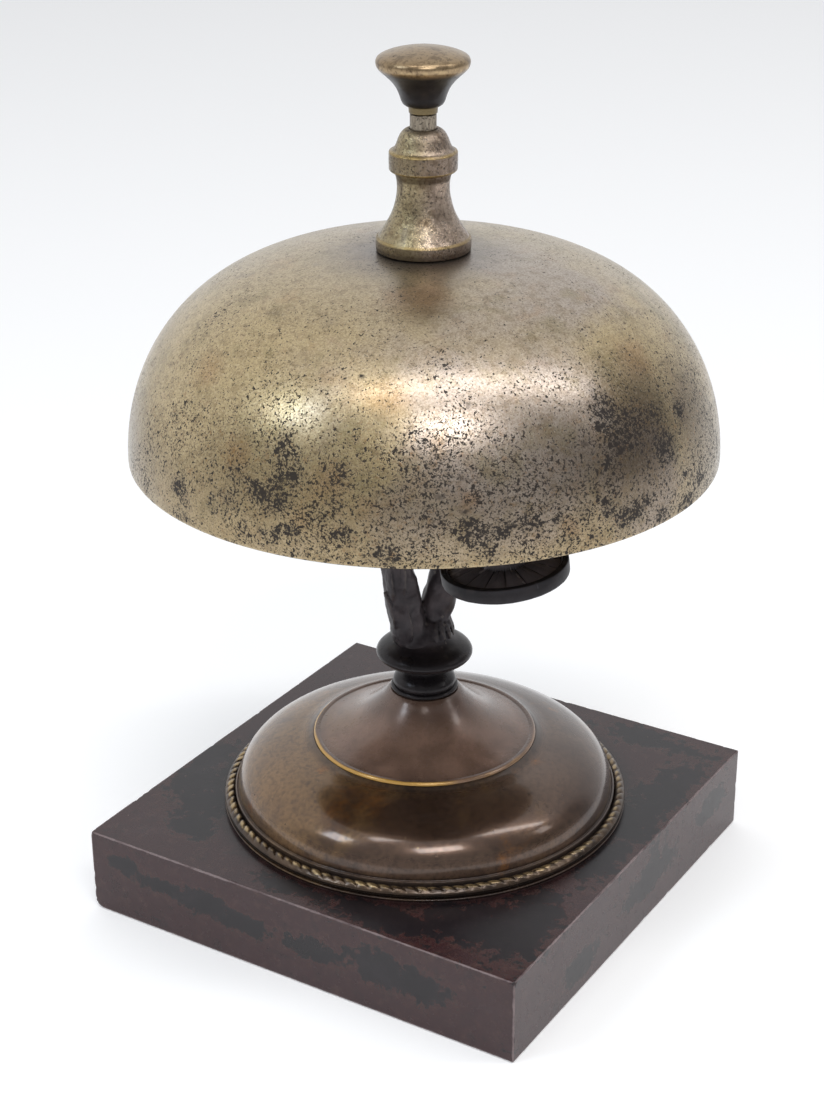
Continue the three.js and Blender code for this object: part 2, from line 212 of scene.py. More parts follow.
def cylinder(name, r, a, b, seg=48):
    """A cylinder between two points in mm."""
    a, b = Vector(a), Vector(b)
    q = (b - a).to_track_quat("Z", "Y").to_matrix().to_4x4()
    o = lathe(name, [(0, 0), (r, 0), (r, (b - a).length), (0, (b - a).length)], seg)
    o.data.transform(Matrix.Translation(a * MM) @ q)
    return o


def fbm(x, y, z, octaves=4):
    s, a = 0.0, 1.0
    for i in range(octaves):
        s += a * noise.noise(Vector((x, y, z)))
        x, y, z, a = x * 2.03, y * 2.03, z * 2.03, a * 0.5
    return s


# -------------------------------------------------------- material helpers
class Mat:
    """A small builder of node materials. Positions are the piece's own, in metres."""

    def __init__(self, name):
        self.m = bpy.data.materials.new(name)
        self.m.use_nodes = True
        self.t = self.m.node_tree
        self.t.nodes.clear()
        self.out = self.t.nodes.new("ShaderNodeOutputMaterial")
        self.b = self.t.nodes.new("ShaderNodeBsdfPrincipled")
        self.t.links.new(self.b.outputs[0], self.out.inputs[0])
        self.co = self.t.nodes.new("ShaderNodeTexCoord").outputs["Object"]
        self.xyz = None

    def put(self, socket, value):
        if isinstance(value, bpy.types.NodeSocket):
            self.t.links.new(value, socket)
        elif isinstance(value, (tuple, list)) and len(value) == 3 and socket.type == "RGBA":
            socket.default_value = (*value, 1)
        else:
            socket.default_value = value

    def math(self, op, a, b=0.0, c=0.0, clamp=False):
        n = self.t.nodes.new("ShaderNodeMath"); n.operation = op; n.use_clamp = clamp
        self.put(n.inputs[0], a); self.put(n.inputs[1], b); self.put(n.inputs[2], c)
        return n.outputs[0]

    def add(self, *v):
        s = v[0]
        for x in v[1:]:
            s = self.math("ADD", s, x)
        return s

    def mul(self, a, b): return self.math("MULTIPLY", a, b)

    def vec(self, op, a, b=(0, 0, 0)):
        n = self.t.nodes.new("ShaderNodeVectorMath"); n.operation = op
        self.put(n.inputs[0], a); self.put(n.inputs[1], b)
        return n.outputs["Value"] if op in ("LENGTH", "DISTANCE", "DOT_PRODUCT") else n.outputs["Vector"]

    def axes(self):
        if not self.xyz:
            n = self.t.nodes.new("ShaderNodeSeparateXYZ")
            self.put(n.inputs[0], self.co)
            self.xyz = n.outputs
        return self.xyz

    def scaled(self, sx, sy, sz, co=None):
        n = self.t.nodes.new("ShaderNodeMapping")
        self.put(n.inputs["Vector"], co or self.co)
        n.inputs["Scale"].default_value = (sx, sy, sz)
        return n.outputs[0]

    def noise(self, scale, detail=3.0, rough=0.5, dist=0.0, co=None, shift=0.0, kind="FBM"):
        n = self.t.nodes.new("ShaderNodeTexNoise")
        n.noise_dimensions = "4D"
        try:
            n.noise_type = kind
        except TypeError:
            pass
        self.put(n.inputs["Vector"], co or self.co)
        n.inputs["W"].default_value = shift
        n.inputs["Scale"].default_value = scale
        n.inputs["Detail"].default_value = detail
        n.inputs["Roughness"].default_value = rough
        n.inputs["Distortion"].default_value = dist
        return n.outputs["Fac"]

    def voronoi(self, scale, co=None, feature="F1", rand=1.0):
        n = self.t.nodes.new("ShaderNodeTexVoronoi"); n.feature = feature
        self.put(n.inputs["Vector"], co or self.co)
        n.inputs["Scale"].default_value = scale
        n.inputs["Randomness"].default_value = rand
        return n.outputs

    def step(self, x, lo, hi, a=0.0, b=1.0):
        """Smooth step of x from lo to hi, giving a to b."""
        n = self.t.nodes.new("ShaderNodeMapRange"); n.interpolation_type = "SMOOTHSTEP"; n.clamp = True
        self.put(n.inputs["Value"], x)
        self.put(n.inputs["From Min"], lo); self.put(n.inputs["From Max"], hi)
        self.put(n.inputs["To Min"], a); self.put(n.inputs["To Max"], b)
        return n.outputs[0]

    def mix(self, f, a, b, blend="MIX"):
        n = self.t.nodes.new("ShaderNodeMix"); n.data_type = "RGBA"; n.blend_type = blend
        self.put(n.inputs[0], f)
        self.put(n.inputs[6], a); self.put(n.inputs[7], b)
        return n.outputs[2]

    def lerp(self, f, a, b):
        n = self.t.nodes.new("ShaderNodeMix"); n.data_type = "FLOAT"
        self.put(n.inputs[0], f); self.put(n.inputs[2], a); self.put(n.inputs[3], b)
        return n.outputs[0]

    def radius(self):
        x, y, z = self.axes()
        return self.math("SQRT", self.add(self.mul(x, x), self.mul(y, y)))

    def blob(self, p, r, soft=0.6, ragged=0.5, scale=350.0, shift=0.0):
        """1 inside a ragged patch of radius r (mm) round point p (mm)."""
        d = self.vec("DISTANCE", self.co, tuple(c * MM for c in p))
        w = self.mul(self.math("SUBTRACT", self.noise(scale, 3, 0.6, shift=shift), 0.5), ragged * 2 * r * MM)
        return self.step(self.add(d, w), r * MM, r * (1 - soft) * MM)

    def bump(self, height, distance, strength=1.0, normal=None):
        n = self.t.nodes.new("ShaderNodeBump")
        n.inputs["Strength"].default_value = strength
        n.inputs["Distance"].default_value = distance
        self.put(n.inputs["Height"], height)
        if normal is not None:
            self.put(n.inputs["Normal"], normal)
        return n.outputs[0]

    def done(self, color, rough, metal, normal=None, ior=None, coat=None):
        self.put(self.b.inputs["Base Color"], color)
        self.put(self.b.inputs["Roughness"], rough)
        self.put(self.b.inputs["Metallic"], metal)
        if normal is not None:
            self.put(self.b.inputs["Normal"], normal)
        if ior:
            self.b.inputs["IOR"].default_value = ior
        if coat:
            self.b.inputs["Coat Weight"].default_value = coat[0]
            self.b.inputs["Coat Roughness"].default_value = coat[1]
        return self.m


def srgb(r, g, b):
    return tuple(((c / 255) / 12.92 if c / 255 <= 0.04045 else ((c / 255 + 0.055) / 1.055) ** 2.4) for c in (r, g, b))


# --------------------------------------------------------------- materials
# dark islands in the plinth's stone: centre, and half its length along X, Y and Z, in mm
STONE_PATCHES = [
    ((-43.5, -22.5, 18), (6.5, 10, 5)), ((-37, -27, 18), (6, 8, 5)), ((-33, -37.5, 18), (5.5, 3.5, 5)), ((-47, -12, 18), (4, 7, 5)),
    # the long thin patches at y -44 and -45.5 on the top face, just in front of the foot, are partly dark stone and
    # partly a painted shadow of the foot
    ((36, -38.5, 18), (13, 8, 5)), ((42, -30, 18), (6, 9, 5)), ((19, -44, 18), (13, 3.6, 4)), ((-2, -45.5, 18), (9, 2.6, 4)), ((44, 20, 18), (5, 16, 5)), ((45, -5, 18), (4, 9, 5)), ((30, 44, 18), (16, 4, 5)), ((-10, 46, 18), (14, 4, 5)),
    ((-41.5, -50, 12.5), (3.6, 5, 1.7)), ((-32, -50, 10.5), (6.5, 5, 1.6)), ((-22.5, -50, 10.3), (5.5, 5, 2.6)), ((-11.5, -50, 8.9), (6.5, 5, 2.3)),
    ((4.5, -50, 8.6), (7.5, 5, 2.3)), ((19.5, -50, 10.4), (7, 5, 3.4)), ((28.5, -50, 9.6), (7.5, 5, 3.6)),
    ((50, 8, 9), (5, 13, 3.5)), ((50, -24, 6), (5, 8, 3)), ((50, 36, 11), (5, 8, 3)), ((-50, -10, 8), (5, 14, 3.5)), ((-50, 28, 11), (5, 9, 3)), ((10, 50, 8), (16, 5, 3.5)), ((-30, 50, 11), (9, 5, 3))]


def bell_metal():
    k = Mat("bell_metal_worn")
    x, y, z = k.axes()
    wob = k.noise(230, 3, 0.6, shift=1)
    wob2 = k.noise(230, 3, 0.6, shift=91)
    comb = k.t.nodes.new("ShaderNodeCombineXYZ")
    k.put(comb.inputs[0], k.mul(k.math("SUBTRACT", wob, 0.5), 0.0055))
    k.put(comb.inputs[1], k.mul(k.math("SUBTRACT", wob2, 0.5), 0.0055))
    k.put(comb.inputs[2], k.mul(k.math("SUBTRACT", k.noise(230, 3, 0.6, shift=92), 0.5), 0.0055))
    bent = k.vec("ADD", k.co, comb.outputs[0])

    def spots(items, soft=1.0, grow=1.0):
        """The strongest of several soft spots, each ((x, y, z), radius, strength) in mm."""
        best = None
        for p, r, a in items:
            d = k.vec("DISTANCE", bent, tuple(c * MM for c in p))
            v = k.step(d, r * (grow + 0.75 * soft) * MM, r * (grow - 0.75 * soft) * MM, 0.0, a)
            best = v if best is None else k.math("MAXIMUM", best, v)
        return best

    clusters = spots([
        ((4.8, -52.9, 115.2), 2.2, .70), ((5.9, -53.6, 113.3), 2.0, .78), ((6.2, -54.5, 111.0), 1.9, .75), ((3.6, -55.9, 107.4), 2.3, 1.0),
        ((5.7, -55.5, 108.1), 1.2, .9), ((0.2, -55.9, 107.6), 1.8, .8), ((-3.9, -55.5, 108.5), 2.0, .55), ((7.4, -56.4, 101.8), 1.1, 1.0),
        ((5.0, -56.7, 101.0), 1.2, .85), ((2.4, -56.9, 100.6), 0.8, .8), ((4.4, -56.9, 98.6), 0.8, .7), ((17.2, -54.2, 102.1), 1.7, .72),
        ((15.0, -52.3, 112.2), 1.8, .72), ((13.1, -52.6, 112.8), 1.4, .55), ((25.9, -45.3, 116.9), 3.6, .45), ((27.9, -46.7, 112.2), 3.2, .5),
        ((24.4, -51.6, 99.7), 2.4, .62), ((36.2, -43.8, 102.9), 2.2, .85), ((38.7, -41.6, 102.6), 1.6, 1.1), ((40.5, -39.8, 103.1), 1.4, 1.1),
        ((42.6, -37.3, 104.0), 1.4, .95), ((44.4, -35.2, 103.8), 1.1, .8), ((46.7, -32.1, 104.1), 1.1, .7), ((49.5, -27.6, 103.9), 1.2, .6),
        ((38.3, -42.2, 100.0), 2.2, .55), ((49.9, -16.3, 116.4), 4.2, .72), ((48.0, -17.1, 118.9), 2.8, .6), ((51.5, -14.7, 114.3), 2.8, .68),
        ((54.6, -7.4, 110.3), 2.7, .78), ((53.3, 1.0, 114.6), 1.8, .66), ((52.5, -7.9, 115.3), 3.2, .58), ((50.6, -21.2, 111.0), 1.3, .7),
        ((56.9, 3.7, 100.8), 1.5, .8), ((56.1, -10.5, 98.3), 1.5, .9), ((57.0, -2.3, 97.6), 2.1, .75), ((52.1, -22.4, 103.4), 1.3, .8),
        ((53.4, -19.8, 101.2), 1.8, .95), ((54.3, -17.0, 101.5), 1.5, .9), ((55.1, -14.1, 102.5), 1.2, .7), ((-30.2, -48.4, 99.0), 1.8, .55),
        ((-18.4, -53.7, 103.2), 1.6, .78), ((-16.9, -54.4, 101.3), 1.2, .6), ((-17.4, -54.4, 97.4), 1.5, .55), ((-9.0, -56.2, 103.0), 1.6, .5)], 1.0, 1.45)
    clusters = k.mul(clusters, 1.22)
    drops = spots([
        ((11.5, -55.7, 102.4), .55, 1.0), ((15.3, -54.8, 101.9), .75, 1.0), ((7.9, -55.0, 108.8), .6, 1.0), ((13.1, -54.5, 106.9), .5, 1.0),
        ((45.3, -31.3, 110.5), .5, .9), ((34.2, -42.2, 112.4), .7, .9), ((35.1, -43.7, 106.8), .7, .9), ((31.4, -46.8, 105.7), .7, .8),
        ((37.2, -38.2, 114.7), .5, .95), ((31.4, -45.8, 108.9), 1.0, .75), ((51.3, -17.4, 112.7), .75, 1.1), ((47.7, -23.8, 114.7), .65, .95),
        ((31.3, -36.0, 123.1), .7, .45), ((1.3, -22.4, 135.7), .35, .8), ((11.9, -36.4, 130.5), .55, .9), ((13.5, -41.8, 126.7), .65, 1.0),
        ((1.7, -45.5, 125.3), .45, .8)], 0.7)

    # broad change from brassy tan to pinkish nickel
    big = k.noise(30, 4, 0.6, 0.4)
    nick = spots([((38.2, -37.1, 114.8), 14, 1.0), ((43.6, -25.7, 121), 9, .8), ((53.9, -14.3, 106.5), 9, 1.0), ((30, -48, 104), 8, .7), ((-30, 42, 112), 22, .8), ((24, 6, 135), 16, .7)])
    grey = k.step(k.add(k.mul(nick, 0.30), big, k.mul(k.step(x, -0.03, 0.06), 0.08)), 0.50, 0.80)
    tan = k.mix(k.noise(75, 5, 0.65, shift=3), srgb(174, 153, 110), srgb(205, 185, 145))
    nickel = k.mix(k.noise(60, 5, 0.6, shift=5), srgb(163, 148, 134), srgb(193, 180, 168))
    col = k.mix(grey, tan, nickel)
    # the crown is greyer, with a duller film
    film = k.step(k.add(z, k.mul(k.math("SUBTRACT", k.noise(38, 4, 0.6, shift=6), 0.5), 0.012)), 0.128, 0.1365)
    col = k.mix(k.mul(film, 0.35), col, srgb(160, 148, 132))
    # olive, orange and brown tints with soft edges
    olive = k.step(k.noise(140, 5, 0.62, 0.3, shift=9), 0.50, 0.68)
    col = k.mix(k.mul(olive, 0.50), col, srgb(136, 124, 84))
    warm = k.step(k.noise(115, 5, 0.62, 0.3, shift=7), 0.54, 0.70)
    col = k.mix(k.mul(warm, 0.30), col, srgb(168, 130, 84))
    tint = spots([((46.5, -3.6, 124.2), 4.2, .7), ((13.0, -21.7, 135.2), 5.0, .6), ((35.4, -42.9, 108.8), 1.7, .8), ((48.0, -30.5, 101.9), 1.7, .7), ((13.6, -53.0, 111.4), 3.0, .55),
                  ((-18.0, -44.4, 122.9), 3.2, .5), ((19.4, -42.7, 123.9), 3.2, .55), ((-4.8, -54.1, 112.5), 2.6, .6), ((9.5, -55.6, 104.4), 2.2, .55)])
    col = k.mix(k.mul(tint, 0.62), col, srgb(166, 118, 66))
    rosy = k.step(k.noise(300, 4, 0.6, shift=15), 0.55, 0.70)
    col = k.mix(k.mul(rosy, 0.18), col, srgb(178, 144, 122))
    # how thickly the specks lie
    front = k.step(k.add(k.mul(x, 0.9), k.mul(y, -0.44)), -0.045, 0.045)
    low = k.step(z, 0.1325, 0.108)
    dens = k.add(0.15, k.mul(low, 0.10), k.mul(k.mul(front, k.step(z, 0.136, 0.116)), 0.22), k.mul(k.math("SUBTRACT", k.noise(72, 5, 0.70, 0.3, shift=17), 0.5), 1.4))
    dens = k.math("MINIMUM", k.math("MAXIMUM", dens, 0.03), 0.74)
    around = k.mul(k.step(k.noise(115, 5, 0.70, 0.4, shift=41), 0.56, 0.64), k.mul(k.step(z, 0.124, 0.106), 0.70))
    dark = k.math("MAXIMUM", clusters, around)
    dens = k.math("MAXIMUM", dens, k.math("MINIMUM", dark, 0.84))
    dens = k.mul(dens, k.add(0.50, k.mul(k.noise(420, 4, 0.7, shift=43), 0.86)))
    # soft stain under the thick patches
    col = k.mix(k.mul(dark, 0.30), col, srgb(92, 82, 66))
    # painted reflection: dark soft patches, mainly on the dome's right side, standing in for a darker part of the room
    # mirrored there
    shade = spots([((52, -12, 114.5), 11, .78), ((54, 6, 112), 9, .66), ((-38, -40, 106), 7, .25)])
    col = k.mix(shade, col, srgb(76, 61, 49))
    # specks of three sizes, ragged, running together where they lie thick
    fine = k.noise(2700, 2.0, 0.55, shift=19)
    mid = k.noise(1650, 2.5, 0.60, shift=21)
    coarse = k.noise(900, 3.5, 0.66, shift=29)

    def speck(n, top, gain, edge):
        t = k.math("SUBTRACT", top, k.mul(dens, gain))
        return k.step(n, k.math("SUBTRACT", t, edge), k.add(t, edge))
    s_fine = speck(fine, 0.695, 0.220, 0.035)
    s_mid = speck(mid, 0.685, 0.215, 0.022)
    s_big = speck(coarse, 0.725, 0.225, 0.016)
    pepper = k.step(k.noise(1900, 3, 0.7, shift=23), 0.53, 0.66)
    col = k.mix(k.mul(pepper, 0.50), col, srgb(98, 82, 58))
    mottle = k.step(k.noise(480, 5, 0.72, shift=33), 0.49, 0.61)
    col = k.mix(k.mul(mottle, 0.34), col, srgb(122, 102, 72))
    rust = k.mul(k.step(k.noise(760, 4, 0.66, shift=35), 0.585, 0.64), k.step(k.add(z, k.mul(k.math("SUBTRACT", k.noise(60, 3, shift=36), 0.5), 0.03)), 0.128, 0.112))
    col = k.mix(k.mul(rust, 0.50), col, srgb(152, 110, 62))
    dash = k.step(k.noise(1.0, 4, 0.68, 0.3, co=k.scaled(420, 420, 900), shift=31), 0.56, 0.66)
    col = k.mix(k.mul(dash, 0.46), col, srgb(108, 90, 64))
    specks = k.math("MAXIMUM", k.math("MAXIMUM", k.mul(s_fine, 0.92), s_mid), k.math("MAXIMUM", s_big, drops))
    specks = k.math("MINIMUM", specks, 1.0)
    # light grain
    grain = k.noise(2600, 3, 0.7, shift=25)
    col = k.mix(k.step(grain, 0.44, 0.66, 0.0, 0.36), col, srgb(104, 88, 66))
    col = k.mix(k.step(grain, 0.50, 0.34, 0.0, 0.22), col, srgb(216, 204, 184))
    # duller and browner towards the lip
    skirt = k.step(k.add(z, k.mul(k.math("SUBTRACT", k.noise(60, 4, 0.6, shift=73), 0.5), 0.010)), 0.1145, 0.1030)
    col = k.mix(k.mul(skirt, 0.46), col, srgb(108, 92, 68))
    # grime round the sleeve
    rr = k.radius()
    grime = k.mul(k.step(k.add(rr, k.mul(k.math("SUBTRACT", k.noise(150, 4, 0.6, shift=27), 0.5), 0.010)), 0.0165, 0.0088), k.step(z, 0.130, 0.134))
    smears = spots([((0, -2, 137), 13.5, .92), ((-10.6, -5.1, 136.7), 2.4, .5), ((-5.6, -8.4, 136.8), 2.0, .55), ((0.4, -12.5, 136.6), 1.3, .5), ((5.0, -12.5, 136.6), 1.0, .55), ((-13.2, -15.8, 136.0), 1.0, .35),
                    ((1.3, -34.2, 132.4), 1.8, .2), ((-26.8, -20.5, 132.7), 1.2, .25)])
    col = k.mix(k.math("MAXIMUM", k.mul(grime, 0.42), smears), col, srgb(96, 90, 90))
    # the lip is rubbed to a thin pale brass line
    lip = k.mul(k.step(z, 0.09755, 0.09705), k.step(k.noise(400, 3, 0.5, shift=71), 0.30, 0.55, 0.35, 1.0))
    col = k.mix(k.mul(lip, 0.60), col, srgb(184, 166, 132))
    col = k.mix(k.mul(specks, 0.97), col, k.mix(k.noise(260, 3, 0.6, shift=23), srgb(18, 14, 14), srgb(44, 35, 29)))
    hair = k.noise(1.0, 5, 0.75, co=k.scaled(160, 160, 5200), shift=81)
    scr = k.noise(1.0, 4, 0.7, co=k.scaled(2400, 2400, 240), shift=83)
    rough = k.add(0.22, k.mul(k.noise(70, 4, 0.6, shift=85), 0.09), k.mul(grain, 0.08), k.mul(specks, 0.24), k.mul(dark, 0.05), k.mul(film, 0.05), k.mul(k.math("SUBTRACT", hair, 0.5), 0.06))
    metal = k.math("SUBTRACT", 0.97, k.add(k.mul(specks, 0.45), k.mul(dark, 0.12)), clamp=True)
    n = k.bump(k.add(k.mul(specks, -0.5), k.mul(pepper, -0.25), k.mul(grain, 0.5), k.mul(k.noise(1100, 3, 0.6, shift=89), 0.5)), 0.00005, 0.70)
    n = k.bump(k.add(k.mul(hair, 0.6), k.mul(scr, 0.4)), 0.000014, 0.5, n)
    n = k.bump(k.noise(130, 3, 0.5, shift=87), 0.00012, 0.35, n)
    k.put(k.b.inputs["Coat Weight"], k.math("MULTIPLY", k.math("SUBTRACT", 1.0, k.mul(specks, 0.92), clamp=True), 0.42))
    k.b.inputs["Coat Roughness"].default_value = 0.19
    return k.done(col, rough, metal, n)


def bell_inside():
    k = Mat("bell_inside")
    ring = k.noise(1.0, 4, 0.7, co=k.scaled(60, 60, 3000), shift=2)
    col = k.mix(k.step(k.noise(55, 5, 0.6), 0.38, 0.66), srgb(92, 78, 60), srgb(128, 110, 84))
    col = k.mix(k.step(k.noise(260, 5, 0.65, shift=4), 0.5, 0.66, 0, 0.7), col, srgb(58, 48, 40))
    rough = k.add(0.48, k.mul(k.noise(120, 4), 0.2))
    return k.done(col, rough, 0.85, k.bump(k.add(ring, k.mul(k.noise(800, 4, shift=6), 0.5)), 0.00005, 0.6))


def sleeve_metal():
    k = Mat("sleeve_metal_worn")
    x, y, z = k.axes()
    # yellower on one flank, pinkish silver on the other
    flank = k.step(k.add(k.mul(x, 0.85), k.mul(y, 0.52), k.mul(k.math("SUBTRACT", k.noise(140, 4, 0.6, shift=15), 0.5), 0.008)), -0.0030, 0.0030)
    col = k.mix(flank, k.mix(k.noise(150, 5, 0.6, 0.3), srgb(144, 129, 95), srgb(173, 159, 128)), k.mix(k.noise(150, 5, 0.6, 0.3, shift=2), srgb(148, 130, 114), srgb(186, 168, 152)))
    col = k.mix(k.step(k.noise(330, 5, 0.68, shift=3), 0.50, 0.66, 0, 0.55), col, srgb(122, 100, 72))
    z18 = lambda h: (h + T) * MM
    def ring(h, w):
        return k.step(k.math("ABSOLUTE", k.math("SUBTRACT", z, z18(h))), w * MM, w * 0.35 * MM)
    hollow = k.math("MAXIMUM", ring(133.1, 0.9), k.math("MAXIMUM", k.mul(ring(119.2, 0.9), 0.9), k.step(z, z18(141.3), z18(142.1))))
    col = k.mix(k.mul(hollow, 0.50), col, srgb(62, 52, 42))
    band = k.step(z, z18(121.6), z18(121.2))
    belt = k.mul(k.step(z, z18(134.1), z18(134.5)), k.step(z, z18(137.8), z18(137.5)))
    col = k.mix(k.mul(k.math("MAXIMUM", k.mul(band, 0.8), belt), 0.52), col, srgb(88, 74, 64))
    stain = k.step(k.noise(1.0, 5, 0.68, 0.4, co=k.scaled(240, 240, 150), shift=6), 0.50, 0.64)
    col = k.mix(k.mul(stain, 0.48), col, srgb(84, 68, 54))
    streak = k.noise(1.0, 4, 0.65, co=k.scaled(900, 900, 150), shift=7)
    col = k.mix(k.step(streak, 0.54, 0.68, 0, 0.34), col, srgb(62, 50, 40))
    grit = k.noise(1250, 5, 0.74, shift=17)
    col = k.mix(k.step(grit, 0.50, 0.60, 0, 0.50), col, srgb(84, 68, 52))
    s = k.noise(2300, 3, 0.66, shift=9)
    t = k.math("SUBTRACT", 0.585, k.mul(k.step(k.noise(160, 4, 0.6, shift=19), 0.42, 0.62), 0.045))
    specks = k.step(s, t, k.add(t, 0.04))
    col = k.mix(k.mul(specks, 0.75), col, srgb(38, 30, 26))
    # brass shows along the turned edges, made brighter there as a painted highlight
    brass = k.math("MAXIMUM", k.math("MAXIMUM", ring(137.75, 0.34), ring(134.3, 0.30)), k.mul(ring(121.35, 0.34), 0.8))
    brass = k.mul(brass, k.step(k.noise(300, 4, 0.6, shift=5), 0.30, 0.52, 0.25, 1.0))
    col = k.mix(k.mul(brass, 0.66), col, srgb(164, 139, 84))
    turned = k.noise(1.0, 3, 0.6, co=k.scaled(120, 120, 6000), shift=11)
    rough = k.add(0.20, k.mul(k.noise(160, 4), 0.13), k.mul(hollow, 0.25), k.mul(specks, 0.26), k.mul(stain, 0.08), k.mul(k.step(grit, 0.5, 0.6), 0.10))
    metal = k.math("SUBTRACT", 0.97, k.mul(specks, 0.4), clamp=True)
    n = k.bump(k.add(k.mul(turned, 0.4), k.mul(specks, -0.6), k.mul(k.noise(1100, 5, 0.7, shift=13), 1.8)), 0.00009, 0.9)
    return k.done(col, rough, metal, n, coat=(0.15, 0.15))


def rod_metal():
    k = Mat("rod_nickel")
    col = k.mix(k.noise(300, 4, 0.6, 0.3), srgb(124, 113, 97), srgb(168, 158, 143))
    streak = k.noise(1.0, 4, 0.7, co=k.scaled(1500, 1500, 160), shift=3)
    col = k.mix(k.step(streak, 0.48, 0.62, 0, 0.70), col, srgb(84, 72, 60))
    s = k.noise(2000, 3, 0.66, shift=5)
    specks = k.step(s, 0.56, 0.60)
    col = k.mix(k.mul(specks, 0.75), col, srgb(40, 33, 28))
    rough = k.add(0.24, k.mul(k.noise(500, 4, 0.6, shift=7), 0.16), k.mul(specks, 0.2))
    n = k.bump(k.add(streak, k.mul(specks, -0.6)), 0.00005, 0.8)
    return k.done(col, rough, k.math("SUBTRACT", 0.95, k.mul(specks, 0.4), clamp=True), n)


def knob_metal():
    k = Mat("knob_bronze")
    x, y, z = k.axes()
    h = lambda v: (v + T) * MM
    col = k.mix(k.noise(200, 5, 0.6, 0.3), srgb(136, 114, 86), srgb(170, 148, 116))
    col = k.mix(k.step(k.noise(380, 5, 0.7, shift=3), 0.46, 0.64, 0, 0.70), col, srgb(98, 80, 58))
    col = k.mix(k.step(k.noise(1500, 4, 0.66, shift=4), 0.50, 0.66, 0, 0.55), col, srgb(72, 58, 44))
    under = k.mix(k.noise(300, 4, 0.6, shift=5), srgb(24, 22, 26), srgb(46, 41, 41))
    wob = k.mul(k.math("SUBTRACT", k.noise(160, 3, shift=7), 0.5), 0.0006)
    crown = k.step(k.add(z, wob), h(152.3), h(153.5))
    col = k.mix(crown, under, col)
    lower = k.step(z, h(146.7), h(146.0))
    col = k.mix(k.mul(lower, 0.85), col, srgb(118, 102, 68))
    # painted highlight: a bright, broken ring along the crown's rim
    edge = k.step(k.math("ABSOLUTE", k.math("SUBTRACT", z, h(153.8))), 0.0006, 0.0001)
    col = k.mix(k.mul(edge, k.step(k.noise(700, 4, shift=9), 0.44, 0.60, 0, 0.7)), col, srgb(184, 160, 122))
    pits = k.step(k.noise(900, 3, 0.6, shift=11), 0.64, 0.70)
    col = k.mix(k.mul(pits, 0.6), col, srgb(54, 42, 34))
    rough = k.add(k.lerp(crown, 0.34, 0.26), k.mul(k.noise(240, 4, shift=13), 0.14), k.mul(pits, 0.2))
    metal = k.lerp(crown, 0.70, 0.93)
    n = k.bump(k.add(k.mul(k.noise(800, 4, shift=15), 0.9), k.mul(pits, -0.6)), 0.00005, 0.75)
    return k.done(col, rough, metal, n, coat=(0.2, 0.15))


